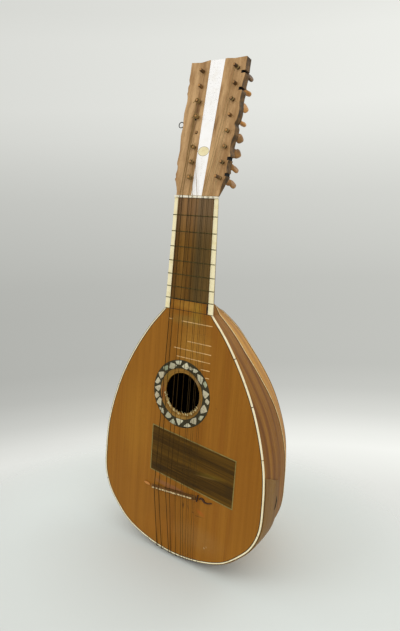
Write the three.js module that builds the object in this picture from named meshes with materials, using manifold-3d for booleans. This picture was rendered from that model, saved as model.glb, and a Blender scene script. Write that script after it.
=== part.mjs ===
// Mandolone: a bass of the mandolin family, with a deep bowl of ribs, a flat soundboard, a wide
// neck and a flat head with sixteen pegs put in from behind. Millimetres. +Z runs up along the
// neck, the front faces -Y and +X is at the right of someone who looks at the front.
import * as THREE from 'three';
import { mergeVertices } from 'three/addons/utils/BufferGeometryUtils.js';
import Module from 'manifold-3d';

const wasm = await Module();
wasm.setup();

// Driving dimensions
const stringLength = 600; // nut to bridge
const bodyLength = 527; // neck joint to tail
const bodyWidth = 410;
const bodyDepth = 283; // soundboard to the deepest rib
const nutWidth = 102;
const jointWidth = 117; // neck and body where they meet
const headLength = 267;
const headWidth = 126;
const headThickness = 17;
const headTilt = THREE.MathUtils.degToRad(9.1);
const jointFret = 8;
const neckFretCount = 7;
const courseCount = 8;

// Fits
const clearance = 0.3; // between pieces that touch
const overrun = 2; // how far a cutting solid runs past the face that it cuts

// Soundboard, its edging and what is let into it
const boardThickness = 2.8;
const inlayThickness = 1.1;
const bindingWidth = 3;
const bindingHeight = 3.2;
const holeCentreZ = -392;
const holeRadius = 42.7;
const rimWidth = 10.4;
const tileRingWidth = 17.6;
const tileRaise = 0.4;
const tileCount = 22;
const tileMargin = 1.6;
const tileRingX = -3.4; // the tiled ring's middle isn't over the hole's
const tileRingZ = holeCentreZ - 2.2;
const plateCentreX = 33.5;
const plateCentreZ = -537;
const plateWidth = 207;
const plateHeight = 98;
const plateDrop = 19; // how much lower the plate's right end lies than its left end
const plateBorder = 2;
const boardFretWidth = 1.3;
const boardFretRaise = 0.5;

// Neck, fingerboard and nut
const neckDepthAtNut = 19;
const neckDepthAtHeel = 26;
const heelLength = 46;
const fingerboardThickness = 2.6;
const edgeStripWidthAtNut = 8.2;
const edgeStripWidthAtJoint = 11;
const fretWidth = 1.5;
const fretRaise = 0.9;
const nutThickness = 4.2;
const nutRaise = 2.3;
const nutSlotDepth = 0.7;
const nutSlotWidth = 2;
const stringMarginAtNut = 10; // nut end to the centre of the first course

// Bowl
const ribThickness = 3;
const sectionPower = 2.15; // 2 is an ellipse, more is squarer
const shoulderFullnessShare = 0.3; // how much deeper the bowl is at the neck joint
const shoulderFade = 13; // how fast that fades down the body
const sideRibAngle = THREE.MathUtils.degToRad(24); // the two wide ribs next to the soundboard
const backRibCount = 7;
const outlineSegments = 60;
const ribTailStations = 2; // the ribs end this many outline stations before the tail
const blockLength = 42;
const tailBlockWidth = 124;
const tailBlockDepth = 92;
const blockInset = 4.4; // bowl surface to the blocks inside it
const braceWidth = 9;
const braceHeight = 16;
const braceClearance = 6;

// Tail clasp and its pins
const claspThickness = 1.6;
const claspGap = 0.95;
const claspDepth = 66;
const claspReach = 224; // how far up the sides it comes, above the tail, on the average
const claspEndRise = 15.9; // how far above that its ends start, at the front
const claspEndSlope = 0.435; // how far they drop for each step back
const pinRadius = 1.7;
const pinLength = 7;
const pinDepth = 15; // how far the pins lie behind the soundboard's front
const pinPitch = 12.7;
const pinOffsetX = 8.5;

// Bridge
const bridgeX = -6;
const bridgeSetback = 9; // how far the bridge's middle stands beyond the string length
const bridgeLength = 116;
const bridgeTurn = THREE.MathUtils.degToRad(5.9);
const bridgeBase = 9;
const bridgeHeight = 6.4;
const saddleThickness = 2.6;
const saddleHeight = 2;
const bridgeEndLength = 40;
const bridgeEndHeight = 8;
const bridgeEndThickness = 1.6;
const courseSpanAtBridge = 103;
const courseShiftAtBridge = 1;
const pairSpacingAtNut = 3.4;
const pairSpacingAtBridge = 4.4;

// Strings
const thickestString = 1.5;

// Head
const headNotchDepth = 4; // below the head's half width
const headBlendHeight = 50; // the head's foot runs into the neck's round below this
const headBlendHalfWidth = 49; // of the round at the nut line
const headBlendSpread = 0.4; // how fast the round widens up the head
const headFootWall = 1; // flat wall that is left at the head's edge

// Head inlay
const stripeWidthAtTop = 33;
const stripeWidthAtNut = 24.6;
const roundelHeight = 90.5; // above the nut line
const roundelWidth = 25;
const roundelTall = 18;

// Pegs
const pegCountPerSide = 8;
const pegPitch = 29.6;
const topPegHeight = 246;
const pegFrontRadius = 3.3;
const pegBackRadius = 4;
const pegTipLength = 20; // longest tip in front of the head
const pegWindingHeight = 5; // where the string meets the peg, in front of the head
const collarRadius = 6.4;
const collarThickness = 3;
const collarStandoff = 12;
const knobWidth = 20;
const knobLength = 24;
const knobThickness = 9;
const rightPegX = 49;
const leftPegTopX = -30;
const leftPegBottomX = -19.5;

// Hanging eye
const eyeRadius = 5.6; // centre line of the wire
const wireRadius = 0.9;
const eyeX = -70.5;
const eyeHeight = 147;
const eyeShankDepth = 12; // how far the shank goes into the head's edge
const eyeOpening = THREE.MathUtils.degToRad(40);

// Resolution
const roundSides = 10;
const ringSides = 48;
const stringSides = 6;
const pinSides = 6;
const sectionSides = 14;
const mergeDistance = 0.001; // corners this near to each other are one

const jointZ = -fretPlace(jointFret);
const tailZ = jointZ - bodyLength;
const bridgeZ = -stringLength - bridgeSetback;
const outlineSamples = bodyOutline();

// How the body widens: share of the length from the joint, share of the half width.
function bodyWidthShares() {
  return [
    [0.078, 0.459], [0.19, 0.652], [0.304, 0.803], [0.419, 0.909], [0.533, 0.977],
    [0.65, 0.999], [0.759, 0.987], [0.835, 0.91], [0.892, 0.784], [0.944, 0.62], [0.984, 0.34],
  ];
}

// Distance of a fret from the nut, in equal temperament.
function fretPlace(fret) {
  return stringLength * (1 - 2 ** (-fret / 12));
}

// Edge of the body from the left of the neck joint round the tail to its right, as [x, z].
function bodyOutline() {
  const right = bodyWidthShares().map(([along, across]) => new THREE.Vector3(
    across * bodyWidth / 2, 0, jointZ - along * bodyLength));
  right.unshift(new THREE.Vector3(jointWidth / 2, 0, jointZ));
  const left = right.map((point) => new THREE.Vector3(-point.x, 0, point.z));
  const points = [...left, new THREE.Vector3(0, 0, tailZ), ...right.reverse()];
  const curve = new THREE.CatmullRomCurve3(points, false, 'centripetal');
  return curve.getSpacedPoints(outlineSegments).map((point) => [point.x, point.z]);
}

// The outline moved inwards by a distance, cut off level at the joint.
function insetOutline(distance) {
  return outlineSamples.map(([x, z], index) => {
    const [x0, z0] = outlineSamples[Math.max(index - 1, 0)];
    const [x1, z1] = outlineSamples[Math.min(index + 1, outlineSegments)];
    const length = Math.hypot(x1 - x0, z1 - z0);
    const point = [x - distance * (z1 - z0) / length, z + distance * (x1 - x0) / length];
    const end = index === 0 || index === outlineSegments;
    return end ? [Math.sign(x) * (Math.abs(x) - distance), jointZ - clearance] : point;
  });
}

// Half width of the body at a height, from the outline's right half.
function halfWidthAt(z) {
  const right = outlineSamples.slice(outlineSegments / 2);
  const upper = Math.max(right.findIndex((point) => point[1] >= z), 1);
  const [x0, z0] = right[upper - 1];
  const [x1, z1] = right[upper];
  return THREE.MathUtils.mapLinear(z, z0, z1, x0, x1);
}

// Depth of the bowl for a half width at a height.
function depthFor(halfWidth, z) {
  const along = THREE.MathUtils.clamp((jointZ - z) / bodyLength, 0, 1);
  const fullness = 1 + shoulderFullnessShare * (1 - along) ** shoulderFade;
  return halfWidth * fullness * bodyDepth / (bodyWidth / 2);
}

// A point of a squarish half ellipse, from the right edge over the back to the left edge.
function sectionPoint(halfWidth, depth, angle) {
  const x = Math.sign(Math.cos(angle)) * Math.abs(Math.cos(angle)) ** (2 / sectionPower);
  const y = Math.max(Math.sin(angle), 0) ** (2 / sectionPower);
  return [halfWidth * x, depth * y];
}

// A point on the bowl at a station of the outline's right half, moved inwards by a distance.
function bowlPoint(station, angle, inset = 0) {
  const [halfWidth, z] = outlineSamples[outlineSegments - station];
  const [x, y] = sectionPoint(halfWidth, depthFor(halfWidth, z), angle);
  const point = new THREE.Vector3(x, y, station === 0 ? z - clearance : z);
  return inset === 0 ? point : point.addScaledVector(bowlNormal(station, angle), -inset);
}

// The outward direction there, from two nearby differences over the surface.
function bowlNormal(station, angle) {
  const small = 0.01;
  const turn = THREE.MathUtils.clamp(angle, small, Math.PI - small);
  const after = bowlPoint(station, turn + small);
  const across = after.sub(bowlPoint(station, turn - small));
  const last = outlineSegments / 2 - 1;
  const lower = bowlPoint(Math.min(station + 1, last), turn);
  const along = lower.sub(bowlPoint(Math.max(station - 1, 0), turn));
  return across.cross(along).normalize().negate();
}

// Geometry and solids

// A closed geometry whose faces all look outwards, from points and triangles.
function facingOut(positions, faces) {
  const corner = (index) => new THREE.Vector3().fromArray(positions, 3 * index);
  let volume = 0;
  for (let face = 0; face < faces.length; face += 3) {
    const [a, b, c] = [corner(faces[face]), corner(faces[face + 1]), corner(faces[face + 2])];
    volume += a.dot(b.cross(c));
  }
  const geometry = new THREE.BufferGeometry();
  geometry.setAttribute('position', new THREE.Float32BufferAttribute(positions, 3));
  geometry.setIndex(volume < 0 ? [...faces].reverse() : faces);
  return geometry;
}

// A closed body from rings of equally many points, with flat or fan-shaped ends.
function loft(rings) {
  const count = rings[0].length;
  const positions = rings.flat().flatMap((point) => [point.x, point.y, point.z]);
  const faces = [];
  for (let ring = 0; ring + 1 < rings.length; ring += 1) {
    for (let side = 0; side < count; side += 1) {
      const a = ring * count + side;
      const b = ring * count + (side + 1) % count;
      faces.push(a, b, b + count, a, b + count, a + count);
    }
  }
  const top = (rings.length - 1) * count;
  for (let side = 1; side + 1 < count; side += 1) {
    faces.push(0, side + 1, side, top, top + side, top + side + 1);
  }
  return facingOut(positions, faces);
}

// A shell from two grids of points over the same places, the first one outside.
function shell(outer, inner) {
  const rows = outer.length;
  const columns = outer[0].length;
  const size = rows * columns;
  const positions = [...outer.flat(), ...inner.flat()].flatMap((point) => point.toArray());
  const faces = [];
  const quad = (a, b, c, d) => faces.push(a, b, c, a, c, d);
  for (let row = 0; row + 1 < rows; row += 1) {
    for (let column = 0; column + 1 < columns; column += 1) {
      const a = row * columns + column;
      quad(a, a + 1, a + columns + 1, a + columns);
      quad(size + a, size + a + columns, size + a + columns + 1, size + a + 1);
    }
  }
  for (let row = 0; row + 1 < rows; row += 1) {
    const a = row * columns;
    const b = a + columns - 1;
    quad(a, a + columns, size + a + columns, size + a);
    quad(b + columns, b, size + b, size + b + columns);
  }
  for (let column = 0; column + 1 < columns; column += 1) {
    const b = (rows - 1) * columns + column;
    quad(column + 1, column, size + column, size + column + 1);
    quad(b, b + 1, size + b + 1, size + b);
  }
  return facingOut(positions, faces);
}

// A thin tube through a few points, with a ring at each of them.
function tubeThrough(points, radius, sides = stringSides) {
  const rings = points.map((point, index) => {
    const before = points[Math.max(index - 1, 0)];
    const after = points[Math.min(index + 1, points.length - 1)];
    const direction = after.clone().sub(before).normalize();
    const across = new THREE.Vector3(0, 1, 0).cross(direction).normalize();
    const up = direction.clone().cross(across);
    return Array.from({ length: sides }, (_, side) => {
      const turn = 2 * Math.PI * side / sides;
      return point.clone().addScaledVector(across, radius * Math.cos(turn))
        .addScaledVector(up, radius * Math.sin(turn));
    });
  });
  return loft(rings);
}

// A flat plate in the XZ plane, from the front face at y to the back.
function plate(outline, front, thickness, hole = null) {
  const loop = (points) => {
    const corners = points.map(([x, z]) => new THREE.Vector2(x, -z));
    return THREE.ShapeUtils.isClockWise(corners) ? corners.reverse() : corners;
  };
  const shape = new THREE.Shape(loop(outline));
  if (hole) shape.holes.push(new THREE.Path(loop(hole)));
  const geometry = new THREE.ExtrudeGeometry(shape, { depth: thickness, bevelEnabled: false });
  return geometry.rotateX(-Math.PI / 2).translate(0, front, 0);
}

// Points of a circle or an ellipse in the XZ plane.
function ellipse(centreX, centreZ, radiusX, radiusZ, sides = ringSides) {
  return Array.from({ length: sides }, (_, side) => {
    const turn = 2 * Math.PI * side / sides;
    return [centreX + radiusX * Math.cos(turn), centreZ + radiusZ * Math.sin(turn)];
  });
}

// A box between two corners.
function block(low, high) {
  const size = high.map((value, axis) => value - low[axis]);
  const middle = high.map((value, axis) => (value + low[axis]) / 2);
  return new THREE.BoxGeometry(...size).translate(...middle);
}

// The solid of a closed geometry, for joining and cutting.
function solid(geometry) {
  const bare = new THREE.BufferGeometry();
  bare.setAttribute('position', geometry.attributes.position.clone());
  if (geometry.index) bare.setIndex(geometry.index.clone());
  const merged = mergeVertices(bare, mergeDistance);
  return new wasm.Manifold(new wasm.Mesh({
    numProp: 3,
    vertProperties: new Float32Array(merged.attributes.position.array),
    triVerts: new Uint32Array(merged.index.array),
  }));
}

// The geometry of a solid.
function surface(body) {
  const mesh = body.getMesh();
  const geometry = new THREE.BufferGeometry();
  geometry.setAttribute('position', new THREE.BufferAttribute(mesh.vertProperties, 3));
  geometry.setIndex(new THREE.BufferAttribute(mesh.triVerts, 1));
  return geometry;
}

// A geometry with others cut out of it.
function cut(geometry, ...tools) {
  return surface(tools.reduce((body, tool) => body.subtract(solid(tool)), solid(geometry)));
}

// Several geometries joined.
function join(geometry, ...others) {
  return surface(others.reduce((body, other) => body.add(solid(other)), solid(geometry)));
}

// A named piece of the instrument.
function piece(name, geometry, material) {
  const mesh = new THREE.Mesh(geometry, material);
  mesh.name = name;
  return mesh;
}

// A finish.
function finish(color, roughness, metalness = 0) {
  return new THREE.MeshStandardMaterial({ color, roughness, metalness });
}

const finishes = {
  spruce: finish('#a8641f', 0.45),
  rosewood: finish('#6f4d38', 0.5),
  darkWood: finish('#3b2416', 0.5),
  walnut: finish('#8a6a48', 0.6),
  bone: finish('#e6d9b4', 0.5),
  ivory: finish('#f4f1e6', 0.45),
  mother: finish('#c9cdb8', 0.3),
  mastic: finish('#2b2620', 0.7),
  golden: finish('#a9752c', 0.5),
  steel: finish('#8d857a', 0.35, 1),
  pegWood: finish('#9a5a2a', 0.45),
  innerSpruce: finish('#b89a6a', 0.8),
};

// Soundboard and its inlays

// Half width of the fingerboard between its edge strips, at a height.
function fingerboardHalfWidth(z) {
  return neckHalfWidth(z) - THREE.MathUtils.mapLinear(
    z, 0, jointZ, edgeStripWidthAtNut, edgeStripWidthAtJoint);
}

// Half width of the neck at a height.
function neckHalfWidth(z) {
  return THREE.MathUtils.mapLinear(z, 0, jointZ, nutWidth / 2, jointWidth / 2);
}

// Corners of the dark plate, grown or shrunk evenly.
function plateCorners(grow) {
  const halfWidth = plateWidth / 2 + grow;
  const halfHeight = plateHeight / 2 + grow;
  const slope = plateDrop / plateWidth;
  return [[-1, 1], [1, 1], [1, -1], [-1, -1]].map(([side, end]) => [
    plateCentreX + side * halfWidth,
    plateCentreZ + end * halfHeight - side * slope * halfWidth,
  ]);
}

// The short frets on the soundboard: fret number, left end and right end as shares of the
// half width of the fingerboard.
function boardFretShares() {
  return [
    [9, -0.28, 1.28], [10, -0.68, 1.28], [11, 0.09, 1.29], [12, -0.6, 1.32],
    [13, -0.43, 1.31], [14, 0.86, 1.31], [15, 1.13, 1.31],
  ];
}

function soundboard() {
  const inside = insetOutline(bindingWidth + clearance);
  const tongueTop = -fretPlace(neckFretCount) - clearance;
  const tongueWidth = fingerboardHalfWidth(tongueTop) - clearance;
  const lowWidth = fingerboardHalfWidth(jointZ) - clearance;
  const tongue = [[lowWidth, jointZ - clearance], [tongueWidth, tongueTop],
    [-tongueWidth, tongueTop], [-lowWidth, jointZ - clearance]];
  const board = plate([...inside, ...tongue], 0, boardThickness,
    ellipse(0, holeCentreZ, holeRadius, holeRadius));
  const ringRadius = holeRadius + rimWidth + tileRingWidth + 2 * clearance;
  const recess = inlayThickness + clearance;
  const frets = boardFretShares().map(([fret, left, right]) => block(
    [left * lowWidth, -boardFretRaise, -fretPlace(fret) - boardFretWidth / 2],
    [right * lowWidth, boardThickness / 2, -fretPlace(fret) + boardFretWidth / 2]));
  return cut(
    join(board, ...frets),
    plate(ellipse(tileRingX, tileRingZ, ringRadius, ringRadius), -overrun, overrun + recess),
    plate(plateCorners(plateBorder + 2 * clearance), -overrun, overrun + recess),
  );
}

function binding() {
  const outer = insetOutline(0);
  const inner = insetOutline(bindingWidth).reverse();
  return plate([...outer, ...inner], 0, bindingHeight);
}

// A flat ring let into the soundboard, round a smaller circle with a middle of its own.
function inlayRing(innerX, innerZ, innerRadius, outerRadius) {
  return plate(ellipse(tileRingX, tileRingZ, outerRadius, outerRadius), 0, inlayThickness,
    ellipse(innerX, innerZ, innerRadius, innerRadius));
}

// The ring of dark mastic with three-cornered tiles that point in and out in turn.
function tileRing() {
  const inner = holeRadius + rimWidth + clearance;
  const outer = inner + tileRingWidth;
  const low = inner + tileMargin;
  const high = outer - tileMargin;
  const half = Math.PI / tileCount;
  const at = (radius, turn) => [
    tileRingX + radius * Math.cos(turn),
    tileRingZ + radius * Math.sin(turn),
  ];
  const tiles = Array.from({ length: tileCount }, (_, index) => {
    const turn = 2 * half * index;
    const [point, base] = index % 2 === 0 ? [low, high] : [high, low];
    const spread = 2 * half - 2 * tileMargin / base;
    const corners = [at(point, turn), at(base, turn - spread), at(base, turn + spread)];
    return plate(corners, -tileRaise, tileRaise + inlayThickness / 2);
  });
  return join(inlayRing(tileRingX, tileRingZ, inner, outer), ...tiles);
}

// Neck, fingerboard and nut

// Depth of the neck at a height, with the heel's hollow curve down to the bowl.
function neckDepth(z) {
  const plain = THREE.MathUtils.mapLinear(z, 0, jointZ, neckDepthAtNut, neckDepthAtHeel);
  const along = THREE.MathUtils.clamp((jointZ + heelLength - z) / heelLength, 0, 1);
  const heel = 1 - Math.sqrt(1 - along ** 2);
  return plain + heel * (depthFor(jointWidth / 2, jointZ) - plain);
}

function neck() {
  const front = fingerboardThickness + clearance;
  const heelSteps = 8;
  const plainSteps = 4;
  const heights = [nutThickness + clearance];
  for (let step = 0; step <= plainSteps; step += 1) {
    heights.push(THREE.MathUtils.lerp(0, jointZ + heelLength, step / plainSteps));
  }
  for (let step = 1; step <= heelSteps; step += 1) {
    const turn = Math.PI / 2 * step / heelSteps;
    heights.push(jointZ + heelLength * (1 - Math.sin(turn)));
  }
  const sides = sectionSides;
  const rings = heights.map((z) => Array.from({ length: sides + 1 }, (_, side) => {
    const [x, y] = sectionPoint(neckHalfWidth(z), neckDepth(z), Math.PI * side / sides);
    return new THREE.Vector3(x, Math.max(y, front), z);
  }));
  return loft(rings);
}

// One plate of the fingerboard with its part of each fret, between two edges.
function frettedPlate(leftEdge, rightEdge, bottomZ, fretCount) {
  const outline = [[leftEdge(0), 0], [leftEdge(bottomZ), bottomZ], [rightEdge(bottomZ), bottomZ],
    [rightEdge(0), 0]];
  const frets = Array.from({ length: fretCount }, (_, index) => {
    const middle = -fretPlace(index + 1);
    const top = middle + fretWidth / 2;
    const bottom = Math.max(middle - fretWidth / 2, bottomZ);
    const fret = [[leftEdge(top), top], [leftEdge(bottom), bottom], [rightEdge(bottom), bottom],
      [rightEdge(top), top]];
    return plate(fret, -fretRaise, fretRaise + fingerboardThickness / 2);
  });
  return join(plate(outline, 0, fingerboardThickness), ...frets);
}

function fingerboard() {
  const edge = (z) => fingerboardHalfWidth(z) - clearance;
  return frettedPlate((z) => -edge(z), edge, -fretPlace(neckFretCount), neckFretCount);
}

// The bone strip along one side of the fingerboard: side is -1 for the left and 1 for the right.
function edgeStrip(side) {
  const outer = (z) => side * neckHalfWidth(z);
  const inner = (z) => side * fingerboardHalfWidth(z);
  const [left, right] = side < 0 ? [outer, inner] : [inner, outer];
  return frettedPlate(left, right, jointZ, jointFret);
}

// Places of the strings at the nut and the bridge, counted from the left.
function stringX(index, firstCourse, coursePitch, pairSpacing) {
  const course = Math.floor(index / 2);
  const side = index % 2 === 0 ? -1 : 1;
  return firstCourse + course * coursePitch + side * pairSpacing / 2;
}

function stringAtNut(index) {
  const first = -nutWidth / 2 + stringMarginAtNut;
  return stringX(index, first, -2 * first / (courseCount - 1), pairSpacingAtNut);
}

function stringAtBridge(index) {
  const first = courseShiftAtBridge - courseSpanAtBridge / 2;
  const pitch = courseSpanAtBridge / (courseCount - 1);
  return stringX(index, first, pitch, pairSpacingAtBridge);
}

function nut() {
  const bottom = fingerboardThickness;
  const outline = [[nutWidth / 2, -bottom], [nutWidth / 2, nutRaise]];
  for (let index = 2 * courseCount - 1; index >= 0; index -= 1) {
    const x = stringAtNut(index);
    const half = nutSlotWidth / 2;
    const floor = nutRaise - nutSlotDepth;
    outline.push([x + half, nutRaise], [x + half / 2, floor], [x - half / 2, floor],
      [x - half, nutRaise]);
  }
  outline.push([-nutWidth / 2, nutRaise], [-nutWidth / 2, -bottom]);
  const shape = new THREE.Shape(outline.map(([x, y]) => new THREE.Vector2(x, -y)));
  const depth = nutThickness - clearance;
  const geometry = new THREE.ExtrudeGeometry(shape, { depth, bevelEnabled: false });
  return geometry.translate(0, 0, clearance);
}

// Bowl

// Seams of the ribs as angles round the section, from the right edge to the left edge.
function ribSeams() {
  const backAngle = (Math.PI - 2 * sideRibAngle) / backRibCount;
  const seams = Array.from({ length: backRibCount + 1 }, (_, index) =>
    sideRibAngle + index * backAngle);
  return [0, ...seams, Math.PI];
}

// Angle at which the bowl leaves the plane behind the binding, at a station.
function frontAngle(station) {
  const [halfWidth, z] = outlineSamples[outlineSegments - station];
  const front = bindingHeight + clearance;
  return Math.asin((front / depthFor(halfWidth, z)) ** (sectionPower / 2));
}

// One rib between two seams, with half a clearance off each side.
function rib(index) {
  const seams = ribSeams();
  const steps = index === 0 || index === backRibCount + 1 ? 4 : 3;
  const stations = outlineSegments / 2 - ribTailStations;
  const outer = [];
  const inner = [];
  for (let station = 0; station <= stations; station += 1) {
    const speed = (angle) => {
      const small = 0.02;
      const here = bowlPoint(station, angle - small);
      return here.distanceTo(bowlPoint(station, angle + small)) / (2 * small);
    };
    const low = frontAngle(station);
    const from = index === 0 ? low : seams[index] + clearance / 2 / speed(seams[index]);
    const to = index === backRibCount + 1 ? Math.PI - low
      : seams[index + 1] - clearance / 2 / speed(seams[index + 1]);
    const angles = Array.from({ length: steps + 1 }, (_, step) =>
      THREE.MathUtils.lerp(from, to, step / steps));
    outer.push(angles.map((angle) => bowlPoint(station, angle)));
    inner.push(angles.map((angle) => {
      const point = bowlPoint(station, angle, ribThickness);
      point.y = Math.max(point.y, bindingHeight + clearance);
      return point;
    }));
  }
  return shell(outer, inner);
}

// A block inside the bowl between two stations, behind the soundboard.
function innerBlock(firstStation, lastStation) {
  const front = bindingHeight + clearance;
  const rings = [];
  for (let station = firstStation; station <= lastStation; station += 1) {
    rings.push(Array.from({ length: sectionSides + 1 }, (_, side) => {
      const point = bowlPoint(station, Math.PI * side / sectionSides, blockInset);
      return point.setY(Math.max(point.y, front));
    }));
  }
  return loft(rings);
}

// The tail block: as wide as the pins need, between the clasp's ribs and the open bowl.
function tailBlock() {
  const whole = innerBlock(stationAbove(tailZ + blockLength), outlineSegments / 2 - ribTailStations);
  const half = tailBlockWidth / 2;
  const keep = block([-half, 0, tailZ], [half, tailBlockDepth, jointZ]);
  return surface(solid(whole).intersect(solid(keep)));
}

// The last station of the outline above a height.
function stationAbove(z) {
  const half = outlineSegments / 2;
  const stations = Array.from({ length: half }, (_, station) => station);
  return stations.filter((station) => outlineSamples[outlineSegments - station][1] >= z).pop();
}

// A brace across the back of the soundboard, with slanted ends.
function brace(z) {
  const half = halfWidthAt(z) - ribThickness - braceClearance;
  const top = boardThickness + clearance;
  const outline = [[-half, top], [half, top], [half, top + braceHeight / 3],
    [half - 2 * braceHeight, top + braceHeight], [2 * braceHeight - half, top + braceHeight],
    [-half, top + braceHeight / 3]];
  const shape = new THREE.Shape(outline.map(([x, y]) => new THREE.Vector2(x, y)));
  const geometry = new THREE.ExtrudeGeometry(shape, { depth: braceWidth, bevelEnabled: false });
  return geometry.translate(0, 0, z - braceWidth / 2);
}

// Tail clasp

// Distance from the middle of the clasp's circle to the bowl, in a direction and at a depth.
function bowlReach(centreZ, turn, depth) {
  let near = 0;
  let far = bodyWidth;
  for (let round = 0; round < 40; round += 1) {
    const middle = (near + far) / 2;
    const x = Math.abs(middle * Math.cos(turn));
    const z = centreZ + middle * Math.sin(turn);
    const halfWidth = z > tailZ ? halfWidthAt(z) : 0;
    const depthHere = depthFor(halfWidth, z);
    const inside = halfWidth > 0 && (x / halfWidth) ** sectionPower
      + (depth / depthHere) ** sectionPower < 1;
    if (inside) near = middle;
    else far = middle;
  }
  return near;
}

// How far the clasp's ends lie above the level of its circle's middle, as a turn, at a depth.
function claspEndTurn(depth) {
  return Math.atan((claspEndRise - claspEndSlope * depth) / (bodyWidth / 2));
}

// Directions of the clasp's corners at a depth, which follow the corners of the ribs.
function claspTurns(centreZ, depth) {
  const end = claspEndTurn(depth);
  const space = Math.PI / outlineSegments - claspEndTurn(claspDepth);
  const turns = outlineSamples.map(([x, z]) => Math.atan2(z - centreZ, x));
  const inner = turns.filter((turn) => turn > space - Math.PI && turn < -space);
  return [-Math.PI - end, ...inner, end];
}

function tailClasp() {
  const centreZ = tailZ + claspReach;
  const depthSteps = 3;
  const front = bindingHeight + clearance;
  const depths = Array.from({ length: depthSteps + 1 }, (_, row) =>
    THREE.MathUtils.lerp(front, claspDepth, row / depthSteps));
  const grid = (gap) => claspTurns(centreZ, front).map((_, station) => depths.map((depth) => {
    const turn = claspTurns(centreZ, depth)[station];
    const reach = bowlReach(centreZ, turn, depth) + gap;
    return new THREE.Vector3(reach * Math.cos(turn), depth, centreZ + reach * Math.sin(turn));
  }));
  const band = shell(grid(claspGap + claspThickness), grid(claspGap));
  return join(band, ...pinPlaces().map(([x, z]) => hitchPin(x, z)));
}

// Where the pins stand on the clasp: their place across and the height of its face there.
function pinPlaces() {
  const centreZ = tailZ + claspReach;
  return Array.from({ length: courseCount }, (_, index) => {
    const x = pinOffsetX + (index - (courseCount - 1) / 2) * pinPitch;
    const turn = Math.atan2(tailZ - centreZ, x);
    const reach = bowlReach(centreZ, turn, pinDepth) + claspGap;
    return [x, centreZ + reach * Math.sin(turn)];
  });
}

// A pin that stands down out of the clasp, with a round head.
function hitchPin(x, z) {
  const headLength = pinRadius;
  const root = claspThickness / 2;
  const profile = [[0, -root], [pinRadius, -root], [pinRadius, pinLength - headLength],
    [1.5 * pinRadius, pinLength - headLength], [1.2 * pinRadius, pinLength], [0, pinLength]];
  const lathe = new THREE.LatheGeometry(
    profile.map(([radius, along]) => new THREE.Vector2(radius, along)), pinSides);
  return lathe.rotateX(-Math.PI / 2).translate(x, pinDepth, z - claspThickness);
}

// Bridge

// Height of the bridge's middle line at a place across.
function bridgeLineZ(x) {
  return bridgeZ + (x - bridgeX) * Math.tan(bridgeTurn);
}

function bridge() {
  const half = bridgeLength / 2;
  const arch = half / 5;
  const foot = bridgeHeight / 4;
  const outline = [[-half, 0], [-half, -foot], [-half + foot, -bridgeHeight],
    [half - foot, -bridgeHeight], [half, -foot], [half, 0], [3 * arch, 0],
    [2.6 * arch, -foot], [1.4 * arch, -foot], [arch, 0], [-arch, 0],
    [-1.4 * arch, -foot], [-2.6 * arch, -foot], [-3 * arch, 0]];
  const shape = new THREE.Shape(outline.map(([x, y]) => new THREE.Vector2(x, y)));
  return new THREE.ExtrudeGeometry(shape, { depth: bridgeBase, bevelEnabled: false })
    .translate(0, -clearance, -bridgeBase / 2).rotateY(-bridgeTurn)
    .translate(bridgeX, 0, bridgeZ);
}

function saddle() {
  const half = bridgeLength / 2 - bridgeHeight;
  const bottom = -bridgeHeight - 2 * clearance;
  return block([-half, bottom - saddleHeight, -saddleThickness / 2],
    [half, bottom, saddleThickness / 2]).rotateY(-bridgeTurn).translate(bridgeX, 0, bridgeZ);
}

// What is left of the carved scroll at the bridge's right end, flat on the soundboard.
function bridgeEnd() {
  const length = bridgeEndLength;
  const tall = bridgeEndHeight;
  const outline = [[0, -tall / 2], [length * 0.12, -tall * 0.5], [length * 0.2, -tall * 0.12],
    [length * 0.42, -tall * 0.3], [length * 0.6, tall * 0.02], [length * 0.95, tall * 0.22],
    [length, tall * 0.5], [length * 0.7, tall * 0.24], [length * 0.45, tall * 0.12],
    [length * 0.22, tall * 0.36], [length * 0.12, tall * 0.7], [0, tall * 0.6]];
  const start = bridgeX + bridgeLength / 2 + 2 * clearance;
  const thickness = bridgeEndThickness;
  return plate(outline, -thickness - clearance, thickness).rotateY(-bridgeTurn)
    .translate(start, 0, bridgeLineZ(start));
}

// Head. Its pieces stand in a group tilted back from the nut line: x across, y back from the
// head's front and z up along it.

// Edge of the head as height share and half width share: side is -1 for the left, 1 for the right.
function headEdgeShares(side) {
  if (side < 0) {
    return [
      [0, 0.775], [0.045, 0.785], [0.08, 0.83], [0.115, 0.885], [0.138, 0.945], [0.147, 0.905],
      [0.172, 0.935], [0.205, 0.9], [0.232, 0.91], [0.252, 0.955], [0.31, 0.935], [0.35, 0.92],
      [0.46, 0.976], [0.535, 0.945], [0.58, 0.975], [0.63, 0.985], [0.68, 0.96],
      [0.715, 0.94], [0.75, 0.953], [0.772, 0.99], [0.79, 0.972], [0.82, 0.993],
      [0.846, 0.955], [0.877, 0.995], [0.93, 0.986], [1, 1],
    ];
  }
  return [
    [0, 0.8], [0.05, 0.835], [0.094, 0.855], [0.13, 0.89], [0.146, 0.94], [0.19, 0.955],
    [0.22, 0.925], [0.26, 0.935], [0.305, 1], [0.33, 0.965], [0.37, 0.935], [0.415, 0.955],
    [0.455, 1.005], [0.502, 1.005], [0.531, 0.95], [0.56, 1.01], [0.6, 1.04], [0.64, 1.035],
    [0.68, 1.005], [0.72, 1.01], [0.75, 1.03], [0.79, 1], [0.84, 1.02],
    [0.87, 1.045], [0.93, 1.025], [1, 1.02],
  ];
}

// The saw cuts in the head's right edge: middle height and width, as shares of the head's length.
function headNotchShares() {
  return [[0.1734, 0.0165], [0.2865, 0.018], [0.777, 0.0165], [0.895, 0.015]];
}

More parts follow.
